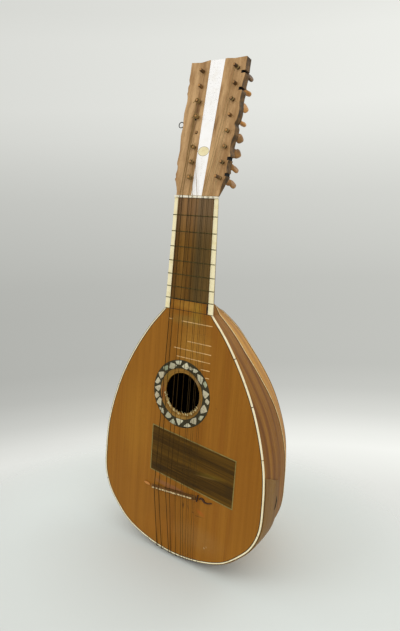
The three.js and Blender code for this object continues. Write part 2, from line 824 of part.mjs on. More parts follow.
// The crest of the head: place across and height, as shares.
function headCrestShares() {
  return [[0.6, 0.996], [0.29, 1.004], [0.27, 1], [0, 0.992], [-0.27, 1], [-0.29, 1.004],
    [-0.6, 0.992]];
}

function headOutline() {
  const half = headWidth / 2;
  const edge = (side) => headEdgeShares(side).map(([along, across]) => [
    side * across * half, along * headLength]);
  const crest = headCrestShares().map(([across, along]) => [across * half, along * headLength]);
  return [...edge(1), ...crest, ...edge(-1).reverse()];
}

// What is cut from behind at the head's foot, so that it runs into the round of the neck.
function headFootCarving() {
  const rings = [-overrun, headBlendHeight].map((height) => {
    const grown = height * headBlendSpread;
    return Array.from({ length: sectionSides + 1 }, (_, side) => {
      const [x, y] = sectionPoint(headBlendHalfWidth + grown, neckDepthAtNut + grown - headFootWall,
        Math.PI * side / sectionSides);
      return new THREE.Vector3(x, y, height);
    });
  });
  const low = -2 * overrun;
  return cut(block([-headWidth, headFootWall, low], [headWidth, 2 * headThickness,
    headBlendHeight - overrun]), loft(rings));
}

// Half width of the light stripe at a height.
function stripeHalfWidth(height) {
  return THREE.MathUtils.mapLinear(
    height, 0, headLength, stripeWidthAtNut, stripeWidthAtTop) / 2;
}

// A stretch of the stripe, grown by a distance on its sides.
function stripeBand(bottom, top, grow) {
  const low = stripeHalfWidth(bottom) + grow;
  const high = stripeHalfWidth(top) + grow;
  return [[-low, bottom], [low, bottom], [high, top], [-high, top]];
}

function roundelOutline(grow) {
  return ellipse(0, roundelHeight, roundelWidth / 2 + grow, roundelTall / 2 + grow, roundSides * 2);
}

// Lowest point of the head and its stripe, clear of the neck's end.
function headFoot() {
  return (nutThickness + 2 * clearance) / Math.cos(headTilt);
}

function stripe(upper) {
  const foot = headFoot() + clearance;
  const middle = roundelHeight;
  const top = headLength - clearance;
  const band = upper ? stripeBand(middle + clearance / 2, top, 0)
    : stripeBand(foot, middle - clearance / 2, 0);
  return cut(plate(band, 0, inlayThickness),
    plate(roundelOutline(clearance), -overrun, inlayThickness + 2 * overrun));
}

// Where the pegs stand: side -1 or 1, row 0 at the top.
function pegPlace(side, row) {
  const along = row / (pegCountPerSide - 1);
  const height = topPegHeight - row * pegPitch;
  const x = side > 0 ? rightPegX : THREE.MathUtils.lerp(leftPegTopX, leftPegBottomX, along);
  return [x, height];
}

// Length of each tip in front of the head, as a share of the longest, from the top down.
function pegTipShares(side) {
  return side < 0 ? [1, 0.95, 0.9, 0.8, 0.1, 0.5, 0.7, 0.72] : [0.9, 0.6, 0.62, 0.55, 0.55, 0.5,
    0.62, 0.95];
}

// How far each knob is turned, as a share of half a turn, from the top down.
function pegTurnShares(side) {
  return side < 0 ? [0.1, 0.62, 0.35, 0.85, 0.5, 0.2, 0.7, 0.4] : [0.3, 0.05, 0.45, 0.12, 0.55,
    0.6, 0.28, 0.35];
}

function pegHoleRadius(radius) {
  return (radius + clearance) / Math.cos(Math.PI / roundSides);
}

function head() {
  const recess = inlayThickness + clearance;
  const board = plate(headOutline(), 0, headThickness);
  const seat = plate(stripeBand(-overrun, headLength + overrun, clearance), -overrun,
    overrun + recess);
  const holes = [];
  for (const side of [-1, 1]) {
    for (let row = 0; row < pegCountPerSide; row += 1) {
      const [x, z] = pegPlace(side, row);
      const hole = new THREE.CylinderGeometry(pegHoleRadius(pegBackRadius),
        pegHoleRadius(pegFrontRadius), headThickness + 2 * overrun, roundSides);
      holes.push(hole.translate(x, headThickness / 2, z));
    }
  }
  const shank = new THREE.CylinderGeometry(wireRadius + clearance, wireRadius + clearance,
    2 * eyeShankDepth, roundSides);
  shank.rotateZ(Math.PI / 2).translate(eyeShankEnd() + clearance - eyeShankDepth,
    headThickness / 2, eyeHeight);
  const reach = 2 * headLength;
  const foot = block([-reach, -reach, -reach], [reach, reach, nutThickness + 2 * clearance])
    .rotateX(headTilt);
  const notches = headNotchShares().map(([middle, width]) => block(
    [headWidth / 2 - headNotchDepth, -overrun, headLength * (middle - width / 2)],
    [headWidth, headThickness + overrun, headLength * (middle + width / 2)]));
  return cut(board, seat, shank, foot, headFootCarving(), ...notches, ...holes);
}

// Right end of the eye's shank, inside the head's left edge.
function eyeShankEnd() {
  return -headWidth / 2 + eyeShankDepth;
}

function hangingEye() {
  const ringSteps = 20;
  const y = headThickness / 2;
  const start = Math.asin(2 * wireRadius / (2 * eyeRadius));
  const points = [new THREE.Vector3(eyeShankEnd(), y, eyeHeight)];
  points.push(new THREE.Vector3(eyeX + eyeRadius + 2 * wireRadius, y, eyeHeight));
  for (let step = 0; step <= ringSteps; step += 1) {
    const turn = start + (2 * Math.PI - eyeOpening - start) * step / ringSteps;
    points.push(new THREE.Vector3(
      eyeX + eyeRadius * Math.cos(turn), y, eyeHeight + eyeRadius * Math.sin(turn)));
  }
  return tubeThrough(points, wireRadius, stringSides + 2);
}

// One peg: a tapered shaft with a collar and a flat rounded knob behind the head.
function peg(side, row) {
  const tip = -pegTipLength * pegTipShares(side)[row];
  const back = headThickness + collarStandoff;
  const knobMiddle = back + collarThickness + knobLength / 2;
  const sides = roundSides;
  const shaft = new THREE.LatheGeometry([[0, tip], [0.7 * pegFrontRadius, tip],
    [pegFrontRadius, tip + pegFrontRadius], [pegBackRadius, back - collarThickness],
    [collarRadius, back], [collarRadius, back + collarThickness], [0, back + collarThickness]]
    .map(([radius, along]) => new THREE.Vector2(radius, along)), sides);
  const knobProfile = [[0, -0.5], [0.34, -0.5], [0.62, -0.38], [0.93, -0.16], [1, 0.06],
    [0.86, 0.3], [0.5, 0.46], [0, 0.5]];
  const knob = new THREE.LatheGeometry(knobProfile.map(([radius, along]) => new THREE.Vector2(
    radius * knobWidth / 2, along * (knobLength + 2 * overrun))), sides);
  knob.scale(1, 1, knobThickness / knobWidth).translate(0, knobMiddle - overrun, 0);
  const turned = join(shaft, knob).rotateY(Math.PI * pegTurnShares(side)[row]);
  const [x, z] = pegPlace(side, row);
  return turned.translate(x, 0, z);
}

// Strings

// A place on the tilted head, seen from the neck.
function fromHead(x, y, height) {
  return new THREE.Vector3(x, y, height).applyAxisAngle(new THREE.Vector3(1, 0, 0), -headTilt);
}

// The strings that are left: place counted from the left, peg side and row, side of the peg
// that the string runs on, and its thickness as a share of the thickest.
function stringRows() {
  return [
    [0, -1, 2, -1, 1], [2, -1, 3, -1, 0.9], [5, -1, 7, 1, 0.8], [6, -1, 6, 1, 0.7],
    [8, -1, 5, 1, 0.6], [10, 1, 0, -1, 0.55], [11, 1, 2, -1, 0.5], [12, 1, 4, -1, 0.45],
    [13, 1, 5, -1, 0.4], [14, 1, 6, -1, 0.36], [15, 1, 7, -1, 0.33],
  ];
}

// A string from its peg over the nut and the bridge and round the tail to its pin.
function string([index, side, row, flank, thicknessShare]) {
  const radius = thickestString * thicknessShare / 2;
  const [pegX, pegHeight] = pegPlace(side, row);
  const pegSide = flank * (pegBackRadius + radius + clearance);
  const lift = radius + clearance;
  const nutTop = nutSlotDepth - nutRaise - lift;
  const bridgeTop = -bridgeHeight - saddleHeight - 3 * clearance - lift;
  const bridgeAt = stringAtBridge(index);
  const course = Math.floor(index / 2);
  const [pinX] = pinPlaces()[course];
  const pinSide = index % 2 === 0 ? -1 : 1;
  const tailX = pinX + pinSide * (1.5 * pinRadius + radius + clearance);
  const turn = Math.atan2(-claspReach, tailX);
  const centreZ = tailZ + claspReach;
  const edge = centreZ + bowlReach(centreZ, turn, bindingHeight) * Math.sin(turn);
  const below = edge - claspGap - claspThickness - lift - clearance;
  return tubeThrough([
    fromHead(pegX + pegSide, -pegWindingHeight, pegHeight),
    new THREE.Vector3(stringAtNut(index), nutTop, nutThickness),
    new THREE.Vector3(stringAtNut(index), nutTop, clearance),
    new THREE.Vector3(bridgeAt, bridgeTop, bridgeLineZ(bridgeAt)),
    new THREE.Vector3(tailX, -lift - clearance, edge - lift - clearance),
    new THREE.Vector3(tailX, bindingHeight, below),
    new THREE.Vector3(tailX, pinDepth, below),
  ], radius);
}

// Assembly
const instrument = new THREE.Group();
const headGroup = new THREE.Group();
headGroup.rotation.x = -headTilt;
instrument.add(headGroup);

const plateInside = plateCorners(0);
const plateOutside = plateCorners(plateBorder + clearance);
instrument.add(
  piece('soundboard', soundboard(), finishes.spruce),
  piece('binding', binding(), finishes.bone),
  piece('rosette_rim', inlayRing(0, holeCentreZ, holeRadius, holeRadius + rimWidth),
    finishes.golden),
  piece('rosette_tiles', tileRing(), finishes.mother),
  piece('dark_plate', plate(plateInside, 0, inlayThickness), finishes.darkWood),
  piece('plate_border', plate(plateOutside, 0, inlayThickness, plateCorners(clearance)),
    finishes.bone),
  piece('neck', neck(), finishes.walnut),
  piece('fingerboard', fingerboard(), finishes.darkWood),
  piece('edge_strip_left', edgeStrip(-1), finishes.bone),
  piece('edge_strip_right', edgeStrip(1), finishes.bone),
  piece('nut', nut(), finishes.bone),
  piece('bridge', bridge(), finishes.darkWood),
  piece('bridge_saddle', saddle(), finishes.bone),
  piece('bridge_end', bridgeEnd(), finishes.darkWood),
  piece('tail_clasp', tailClasp(), finishes.rosewood),
  piece('neck_block', innerBlock(0, stationAbove(jointZ - blockLength)), finishes.innerSpruce),
  piece('tail_block', tailBlock(), finishes.innerSpruce),
  piece('brace_upper', brace(holeCentreZ + holeRadius + 2 * braceHeight), finishes.innerSpruce),
  piece('brace_lower', brace(holeCentreZ - holeRadius - 2 * braceHeight), finishes.innerSpruce),
);
for (let index = 0; index < backRibCount + 2; index += 1) {
  instrument.add(piece(`rib_${index + 1}`, rib(index), finishes.rosewood));
}
for (const row of stringRows()) {
  instrument.add(piece(`string_${row[0] + 1}`, string(row), finishes.steel));
}
headGroup.add(
  piece('head', head(), finishes.walnut),
  piece('head_stripe_upper', stripe(true), finishes.ivory),
  piece('head_stripe_lower', stripe(false), finishes.ivory),
  piece('head_roundel', plate(roundelOutline(0), 0, inlayThickness), finishes.bone),
  piece('hanging_eye', hangingEye(), finishes.steel),
);
for (const [side, word] of [[-1, 'left'], [1, 'right']]) {
  for (let row = 0; row < pegCountPerSide; row += 1) {
    headGroup.add(piece(`peg_${word}_${row + 1}`, peg(side, row), finishes.pegWood));
  }
}

// The origin is the middle of the hanging eye.
const eye = fromHead(eyeX, headThickness / 2, eyeHeight);
instrument.position.copy(eye).negate();
const mandolone = new THREE.Group();
mandolone.add(instrument);

export default mandolone;
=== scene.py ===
"""A mandolone, the bass of the mandolin family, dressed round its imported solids.

Sizes are in millimetres in the maker's frame. Its origin is the middle of the nut. X runs to
the right of someone who looks at the front, Y back into the bowl and Z up along the neck.
"""
from __future__ import annotations

import logging
import math
from dataclasses import dataclass, field
from enum import Enum
from typing import Callable, Sequence

import bpy
import numpy as np
from mathutils import Matrix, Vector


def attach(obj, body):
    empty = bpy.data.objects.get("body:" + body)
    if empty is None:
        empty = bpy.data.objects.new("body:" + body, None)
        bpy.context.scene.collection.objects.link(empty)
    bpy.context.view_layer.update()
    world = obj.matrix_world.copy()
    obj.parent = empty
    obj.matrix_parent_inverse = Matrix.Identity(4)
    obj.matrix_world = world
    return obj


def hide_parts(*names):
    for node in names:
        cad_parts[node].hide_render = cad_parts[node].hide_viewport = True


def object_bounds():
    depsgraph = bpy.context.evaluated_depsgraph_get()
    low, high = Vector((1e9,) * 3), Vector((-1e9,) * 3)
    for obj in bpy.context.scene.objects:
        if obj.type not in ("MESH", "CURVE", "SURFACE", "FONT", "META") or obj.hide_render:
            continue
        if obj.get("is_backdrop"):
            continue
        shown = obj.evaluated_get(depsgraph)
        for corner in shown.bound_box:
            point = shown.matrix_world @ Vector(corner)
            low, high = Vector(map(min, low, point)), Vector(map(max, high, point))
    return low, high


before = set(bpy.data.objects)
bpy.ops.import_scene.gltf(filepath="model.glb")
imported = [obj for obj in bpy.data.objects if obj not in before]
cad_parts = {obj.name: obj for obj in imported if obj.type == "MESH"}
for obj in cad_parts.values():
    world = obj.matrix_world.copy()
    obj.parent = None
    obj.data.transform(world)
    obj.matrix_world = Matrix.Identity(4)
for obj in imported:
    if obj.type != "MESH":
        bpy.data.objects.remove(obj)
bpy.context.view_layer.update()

log = logging.getLogger("mandolone")

Array = np.ndarray
Socket = bpy.types.NodeSocket
Colour = tuple[float, float, float, float]
Painted = tuple[dict[str, object], Socket, float]

MM = 0.001
EYE = np.array([-70.5, 31.642, 143.805])
HEAD_TILT = math.radians(9.1)
HEAD_THICKNESS = 17.0
STRING_LENGTH = 600.0
NUT_WIDTH = 102.0
JOINT_WIDTH = 117.0
JOINT_Z = -222.024
TAIL_Z = -749.024
SECTION_POWER = 2.15
CLEARANCE = 0.3
CORNER_STEPS = 4
SHARP_ANGLE = math.radians(36)
INSTRUMENT = "instrument"


class Slot(Enum):
    """Material slots."""

    ROSEWOOD = "rosewood"
    DARK_WOOD = "dark_wood"
    WALNUT = "walnut"
    BONE = "bone"
    PEARL = "mother_of_pearl"
    GOLDEN_WOOD = "golden_wood"
    STRING_WIRE = "string_wire"
    PEG_WOOD = "peg_wood"
    INNER_WOOD = "inner_wood"
    EYE_WIRE = "eye_wire"


class GrainRun(Enum):
    """What the grain of a piece of wood follows."""

    UP = "along Z"
    ACROSS = "along X, down to the right"
    SURFACE = "along the piece's own surface coordinates"
    PEG = "along Y"


class Side(Enum):
    """A side of the instrument, for someone who looks at the front."""

    LEFT = -1
    RIGHT = 1


def to_world(points: Array | Sequence[float]) -> Array:
    """Changes places in the maker's frame, in mm, to Blender's frame, in metres.

    Args:
        points: Places, with their coordinates in the last axis.

    Returns:
        The same places less the hanging eye's, in metres.
    """
    return (np.asarray(points, float) - EYE) * MM


def turned(points: Array, angle: float, first: int, second: int) -> Array:
    """Turns places in the plane of two axes, from the first towards the second.

    Args:
        points: The places.
        angle: The angle in radians.
        first: Number of the first axis.
        second: Number of the second axis.

    Returns:
        The places, with a cos t - b sin t and a sin t + b cos t for their a and b.
    """
    c, s = math.cos(angle), math.sin(angle)
    a, b = points[..., first], points[..., second]
    result = np.array(points, float)
    result[..., first], result[..., second] = a * c - b * s, a * s + b * c
    return result


def from_head(points: Array) -> Array:
    """Places across, back from and up along the tilted head, in the maker's frame."""
    return turned(points, HEAD_TILT, 2, 1)


def fret_place(fret: float) -> float:
    """Height of a fret: the string length times 2 to the power of -fret / 12, less itself."""
    return -STRING_LENGTH * (1 - 2 ** (-fret / 12))


def unit(vectors: Array) -> Array:
    """Vectors over their lengths."""
    return vectors / np.maximum(np.linalg.norm(vectors, axis=-1, keepdims=True), 1e-12)


def spread(*coordinates: Array | float) -> Array:
    """Coordinates spread to one shape and put into a new last axis."""
    return np.stack(np.broadcast_arrays(*coordinates), -1)


def tapered(z: Array | float, at_nut: float, at_joint: float) -> Array:
    """A size at heights, which changes evenly from the nut to the joint."""
    return np.interp(np.negative(z), [0, -JOINT_Z], [at_nut, at_joint])


def distances(path: Array) -> Array:
    """Distance from a path's start to each of its places, along the first axis."""
    steps = np.linalg.norm(np.diff(path, axis=0), axis=-1)
    return np.concatenate([0 * steps[:1], steps.cumsum(0)])


def table(*rows: Sequence[float]) -> Array:
    """A dataclass field whose value is an array of rows."""
    return field(default_factory=lambda: np.array(rows, float))


def srgb(code: str) -> Colour:
    """Changes a colour as it looks on a screen to the linear one that shaders use.

    Args:
        code: The colour as #rrggbb.

    Returns:
        Its linear red, green and blue, with an alpha of 1.
    """
    levels = np.array([int(code[i:i + 2], 16) for i in (1, 3, 5)]) / 255
    linear = np.where(levels <= 0.04045, levels / 12.92, ((levels + 0.055) / 1.055) ** 2.4)
    return (*linear.tolist(), 1.0)


@dataclass
class Shape:
    """A closed surface of four-sided faces.

    Attributes:
        points: Corner places in mm, one row each.
        faces: Indices of the corners of each face.
        along: Place of each corner along and across the surface, in metres.
        tone: A value for each corner that its finish reads.
    """

    points: Array
    faces: Array
    along: Array
    tone: Array

    def moved(self, change: Callable[[Array], Array]) -> Shape:
        """The shape with a function put over its points."""
        return Shape(change(self.points), self.faces, self.along, self.tone)


def joined(shapes: Sequence[Shape]) -> Shape:
    """Puts several shapes into one.

    Args:
        shapes: The shapes.

    Returns:
        Their points one after another, with the faces' indices shifted to match.
    """
    starts = np.cumsum([0] + [len(shape.points) for shape in shapes[:-1]])
    faces = [shape.faces + start for shape, start in zip(shapes, starts)]
    return Shape(np.concatenate([shape.points for shape in shapes]), np.concatenate(faces),
                 np.concatenate([shape.along for shape in shapes]),
                 np.concatenate([shape.tone for shape in shapes]))


def swept(rings: Array, along: Array | None = None, tone: float = 0.5,
          loop: bool = False) -> Shape:
    """Makes a closed surface from a row of rings.

    Point j of a ring of n faces point n - 1 - j over the piece, so each end is closed by a
    strip of faces between the two halves of its ring.

    Args:
        rings: Places of shape (rows, points, 3).
        along: Surface coordinates in metres of shape (rows, points, 2), or None for the
            distance along the rings' middles and round each ring.
        tone: The tone of every corner.
        loop: Whether the last ring joins the first one, so that there are no ends.

    Returns:
        The surface. Its faces are turned outwards: they are reversed if the sum of the corner
        tetrahedra's volumes, two for each face, is negative.
    """
    rows, count = rings.shape[:2]
    if along is None:
        along = spread(distances(rings.mean(1))[:, None],
                       distances(rings.swapaxes(0, 1)).T) * MM
    r, c = np.arange(rows if loop else rows - 1)[:, None], np.arange(count)
    after, below = (c + 1) % count, (r + 1) % rows * count
    faces = [spread(r * count + c, r * count + after, below + after, below + c).reshape(-1, 4)]
    if not loop:
        j = np.arange(count // 2 - 1)
        end = spread(j, j + 1, count - 2 - j, count - 1 - j)
        faces += [end[:, ::-1], end + (rows - 1) * count]
    points, faces = rings.reshape(-1, 3).astype(float), np.concatenate(faces)
    a, b, c, d = (points[faces[:, k]] for k in range(4))
    if np.sum(a * np.cross(b, c)) + np.sum(a * np.cross(c, d)) < 0:
        faces = faces[:, ::-1]
    return Shape(points, faces, along.reshape(-1, 2), np.full(rows * count, tone))


def shell(outer: Array, inner: Array, along: Array) -> Shape:
    """Makes a wall between two grids over the same places.

    Args:
        outer: Grid of shape (rows, columns, 3).
        inner: The other side of the wall.
        along: Surface coordinates of the outer grid, in metres.

    Returns:
        The wall: each row runs over the outer grid and back over the inner one.
    """
    return swept(np.concatenate([outer, inner[:, ::-1]], 1),
                 np.concatenate([along, along[:, ::-1]], 1))


def lathe(profile: Array, sides: int = 24, flat: Array | float = 1.0) -> Shape:
    """Carries a profile round the Y axis.

    Args:
        profile: Rows of radius and place along Y, from one end to the other.
        sides: Points round each ring, an even number.
        flat: The radius in Z over the radius in X, one number or one for each row.

    Returns:
        The surface with x = r cos a, y = y and z = flat r sin a.
    """
    turn = 2 * np.pi * (np.arange(sides) + 0.5) / sides
    radius, y, ratio = (v[:, None] for v in np.broadcast_arrays(*profile.T, flat))
    return swept(spread(radius * np.cos(turn), y, radius * ratio * np.sin(turn)))


def tube(path: Array, radius: float | Array, sides: int = 10,
         reference: tuple[float, float, float] = (0, 1, 0), tone: float = 0.5) -> Shape:
    """Carries a circle along a path.

    Args:
        path: Rows of places.
        radius: The tube's radius, one number or one for each row.
        sides: Points round each ring, an even number.
        reference: A direction that the path nowhere follows; it sets where each ring starts.
        tone: The tone of every corner.

    Returns:
        The surface p + r (cos a m + sin a n), where m is the reference crossed with the
        path's direction and n is that direction crossed with m.
    """
    ahead = unit(np.gradient(path, axis=0))
    m = unit(np.cross(np.broadcast_to(reference, ahead.shape), ahead))
    n = np.cross(ahead, m)
    turn = (2 * np.pi * (np.arange(sides) + 0.5) / sides)[:, None]
    size = np.broadcast_to(np.asarray(radius, float), (len(path),))[:, None, None]
    ring = np.cos(turn) * m[:, None] + np.sin(turn) * n[:, None]
    return swept(path[:, None] + size * ring, tone=tone)


def rounded(left: Array | float, right: Array | float, front: Array | float,
            back: Array | float, radius: float) -> Array:
    """Outlines of rounded oblongs, as places across and back.

    Args:
        left: Left edge of each oblong.
        right: Right edge.
        front: Front edge.
        back: Back edge.
        radius: Radius of the corners.

    Returns:
        Array of shape (oblongs, 4 * CORNER_STEPS, 2). A quarter circle stands in each corner,
        and the front and back halves of each outline face each other.
    """
    edges = np.broadcast_arrays(*(np.atleast_1d(v) for v in (left, right, front, back)))
    left, right, front, back = (edge[:, None] for edge in edges)
    quarter = np.linspace(0, np.pi / 2, CORNER_STEPS)
    turns = np.add.outer(np.array([2, 3, 0, 1]) * np.pi / 2, quarter).ravel()
    west, east, near, far = left + radius, right - radius, front + radius, back - radius
    x = np.repeat(np.hstack([west, east, east, west]), CORNER_STEPS, 1)
    y = np.repeat(np.hstack([near, near, far, far]), CORNER_STEPS, 1)
    return spread(x + radius * np.cos(turns), y + radius * np.sin(turns))


def level_rings(outlines: Array, heights: Array) -> Array:
    """Rings at given heights, from outlines across and back."""
    return spread(outlines[..., 0], outlines[..., 1], heights[:, None])


def oval(angle: Array, half: Array, deep: Array) -> tuple[Array, Array]:
    """Places across and back on an oval's back half.

    Args:
        angle: Angles from the right edge over the back.
        half: Half widths.
        deep: Depths.

    Returns:
        x = w |cos a|^(2/p) with the cosine's sign, and y = d (sin a)^(2/p).
    """
    power = 2 / SECTION_POWER
    x = np.sign(np.cos(angle)) * np.abs(np.cos(angle)) ** power * half
    return x, np.maximum(np.sin(angle), 0) ** power * deep


def half_ovals(z: Array, half: Array, deep: Array, front: float, count: int) -> Shape:
    """Carries a half oval with a flat front up and down.

    Args:
        z: Heights.
        half: Half width at each height.
        deep: Depth at each height.
        front: Depth of the flat front.
        count: Points over the back, and as many over the front.

    Returns:
        The level rings' surface.
    """
    half = half[:, None]
    x, y = oval(np.linspace(0, np.pi, count), half, deep[:, None])
    flat = spread(np.linspace(-1, 1, count) * half, front)
    return swept(level_rings(np.concatenate([flat, spread(x, np.maximum(y, front))], 1), z))


def strip(start: Sequence[float], end: Sequence[float], front: float, back: float,
          width: float, radius: float = 0.25, steps: int = 12, taper: float = 0.0) -> Shape:
    """A thin bar that lies on the front, between two places across and up.

    Args:
        start: Where it starts, as x and z.
        end: Where it ends.
        front: Its front face.
        back: Its back face.
        width: Its width.
        radius: Radius of its long edges.
        steps: Rings along it.
        taper: How much narrower its ends are than its middle, as a share.

    Returns:
        The bar: a rounded oblong carried along the line.
    """
    share = np.linspace(0, 1, steps)
    half = width / 2 * (1 - taper * (2 * share - 1) ** 2)
    radius = min(radius, (back - front) / 2.01, width / 2.01)
    outline = rounded(-half, half, front, back, radius)
    a, b = np.array(start, float), np.array(end, float)
    ahead = unit(b - a)
    middle = (a + share[:, None] * (b - a))[:, None]
    flat = middle + outline[..., :1] * [ahead[1], -ahead[0]]
    return swept(spread(flat[..., 0], outline[..., 1], flat[..., 1]))


def place_piece(name: str, shape: Shape, finish: Finish,
                replaces: Sequence[str] = (), body: str = INSTRUMENT,
                bevel: float = 0.0) -> None:
    """Makes a piece of the instrument from a shape.

    Args:
        name: The piece's name.
        shape: Its surface in the maker's frame.
        finish: Its finish.
        replaces: The CAD nodes that it stands for.
        body: The body that it rides on.
        bevel: Width in mm of a bevel on its sharp edges, or 0 for none.
    """
    mesh = bpy.data.meshes.new(name)
    mesh.from_pydata(to_world(shape.points).tolist(), [], shape.faces.tolist())
    corners = np.empty(len(mesh.loops), np.int32)
    mesh.loops.foreach_get("vertex_index", corners)
    mesh.uv_layers.new(name="along").data.foreach_set("uv", shape.along[corners].ravel())
    mesh.attributes.new("tone", "FLOAT", "POINT").data.foreach_set("value", shape.tone)
    mesh.polygons.foreach_set("use_smooth", np.ones(len(mesh.polygons), bool))
    mesh.set_sharp_from_angle(angle=SHARP_ANGLE)
    mesh.update()
    piece = bpy.data.objects.new(name, mesh)
    bpy.context.scene.collection.objects.link(piece)
    mesh.materials.append(finish.material())
    if bevel:
        edge = piece.modifiers.new("Softened edges", "BEVEL")
        edge.width = bevel * MM
        edge.segments = 2
        edge.limit_method = "ANGLE"
        edge.angle_limit = SHARP_ANGLE
    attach(piece, body)
    if replaces:
        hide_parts(*replaces)
    log.info("%s: %d faces, %s", name, len(mesh.polygons), finish.name)


def dress(nodes: Sequence[str], finish: Finish) -> None:
    """Gives CAD nodes a finish.

    Args:
        nodes: The nodes' names.
        finish: Their finish.
    """
    for name in nodes:
        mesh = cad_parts[name].data
        mesh.materials.clear()
        mesh.materials.append(finish.material())
        log.info("%s: dressed in %s", name, finish.name)


class Graph:
    """Adds nodes to a node tree and joins them.

    A value for a socket is linked if it is a socket, read as a colour if it is a string like
    #rrggbb, and else set as the socket's default.
    """

    def __init__(self, tree: bpy.types.NodeTree) -> None:
        """Keeps the tree."""
        self.tree = tree

    @classmethod
    def empty(cls, owner: bpy.types.Material | bpy.types.World) -> Graph:
        """The emptied graph of a new material or world."""
        owner.use_nodes = True
        owner.node_tree.nodes.clear()
        return cls(owner.node_tree)

    def put(self, socket: Socket, value: object) -> None:
        """Links a socket to another one, or sets its default value."""
        if isinstance(value, bpy.types.NodeSocket):
            self.tree.links.new(value, socket)
        else:
            socket.default_value = srgb(value) if isinstance(value, str) else value

    def node(self, kind: str, inputs: dict | None = None, **settings: object
             ) -> bpy.types.Node:
        """Adds a node.

        Args:
            kind: Its type; a shader node's goes without its first word.
            inputs: Values for its input sockets, by their names or numbers.
            settings: Its other settings.

        Returns:
            The node.
        """
        node = self.tree.nodes.new(kind if kind.startswith("Node") else "ShaderNode" + kind)
        for key, value in settings.items():
            setattr(node, key, value)
        for key, value in (inputs or {}).items():
            self.put(node.inputs[key], value)
        return node

    def first(self, kind: str, inputs: dict | None = None, **settings: object) -> Socket:
        """The first output of a new node, which is given as node() takes it."""
        return self.node(kind, inputs, **settings).outputs[0]

    def math(self, operation: str, a: object, b: object = 0.0, c: object = 0.0) -> Socket:
        """A Math node's result."""
        return self.first("Math", {0: a, 1: b, 2: c}, operation=operation)

    def times(self, a: object, b: object, plus: object = 0.0) -> Socket:
        """The product of two values, plus a third one."""
        return self.math("MULTIPLY_ADD", a, b, plus)

    def vector(self, operation: str, a: object, b: object) -> Socket:
        """A Vector Math node's vector."""
        return self.first("VectorMath", {0: a, 1: b}, operation=operation)

    def length(self, vector: Socket) -> Socket:
        """The length of a vector."""
        return self.node("VectorMath", {0: vector}, operation="LENGTH").outputs[1]

    def mix(self, share: object, a: object, b: object) -> Socket:
        """Two colours mixed by a share."""
        return self.node("Mix", {0: share, 6: a, 7: b}, data_type="RGBA").outputs[2]

    def span(self, value: object, low: object, high: object, start: float = 0.0,
             end: float = 1.0) -> Socket:
        """A value mapped smoothly from low..high to start..end, and held beyond them."""
        return self.first("MapRange", {0: value, 1: low, 2: high, 3: start, 4: end},
                          interpolation_type="SMOOTHSTEP")

    def noise(self, vector: object, scale: object, detail: float = 3.0,
              roughness: float = 0.55) -> Socket:
        """A Noise Texture's value; three numbers as its scale stretch it along the axes."""
        if isinstance(scale, tuple):
            vector, scale = self.vector("MULTIPLY", vector, scale), 1.0
        return self.first("TexNoise", {"Vector": vector, "Scale": scale, "Detail": detail,
                                       "Roughness": roughness})

    def split(self, vector: object) -> list[Socket]:
        """The three numbers of a vector."""
        return list(self.node("SeparateXYZ", {0: vector}).outputs)

    def combine(self, x: object, y: object, z: object) -> Socket:
        """A vector of three numbers."""
        return self.first("CombineXYZ", {0: x, 1: y, 2: z})

    def ramp(self, value: object, stops: Sequence[tuple[float, str]]) -> Socket:
        """A colour that runs through given ones, each with its place."""
        node = self.node("ValToRGB", {0: value})
        elements = node.color_ramp.elements
        while len(elements) < len(stops):
            elements.new(0.5)
        for element, (place, colour) in zip(elements, stops):
            element.position, element.color = place, srgb(colour)
        return node.outputs[0]

    def place(self) -> Socket:
        """Object coordinates."""
        return self.node("TexCoord").outputs["Object"]

    def surface(self) -> Socket:
        """The piece's own surface coordinates: along and across, in metres."""
        return self.first("UVMap", uv_map="along")

    def tone(self) -> Socket:
        """The piece's own tone."""
        return self.node("Attribute", attribute_name="tone").outputs["Fac"]


@dataclass(frozen=True)
class Effect:
    """An effect that several finishes use, built once as a node group.

    Attributes:
        name: The group's name.
        inputs: Default values by name: a number, or three of them for a vector.
        outputs: Names of its outputs, which are all numbers.
        fill: Makes its nodes; it takes the graph and the inputs, and returns the outputs.
    """

    name: str
    inputs: dict[str, float | tuple[float, float, float]]
    outputs: tuple[str, ...]
    fill: Callable[..., Sequence[Socket]]

    def build(self) -> bpy.types.NodeTree:
        """Makes the group, with its sockets and nodes."""
        tree = bpy.data.node_groups.new(self.name, "ShaderNodeTree")
        for key, value in self.inputs.items():
            kind = "NodeSocketVector" if isinstance(value, tuple) else "NodeSocketFloat"
            socket = tree.interface.new_socket(key, in_out="INPUT", socket_type=kind)
            socket.default_value = value
        for key in self.outputs:
            tree.interface.new_socket(key, in_out="OUTPUT", socket_type="NodeSocketFloat")
        graph = Graph(tree)
        given = graph.node("NodeGroupInput").outputs
        results = self.fill(graph, *(given[key] for key in self.inputs))
        graph.node("NodeGroupOutput", dict(zip(self.outputs, results)))
        return tree

    def place(self, graph: Graph, *values: object) -> list[Socket]:
        """Places the group in a material.

        Args:
            graph: The material's graph.
            values: Values for its inputs in order; those left out keep their defaults.

        Returns:
            Its outputs.
        """
        tree = bpy.data.node_groups.get(self.name) or self.build()
        node = graph.node("Group", node_tree=tree)
        for socket, value in zip(node.inputs, values):
            graph.put(socket, value)
        return list(node.outputs)


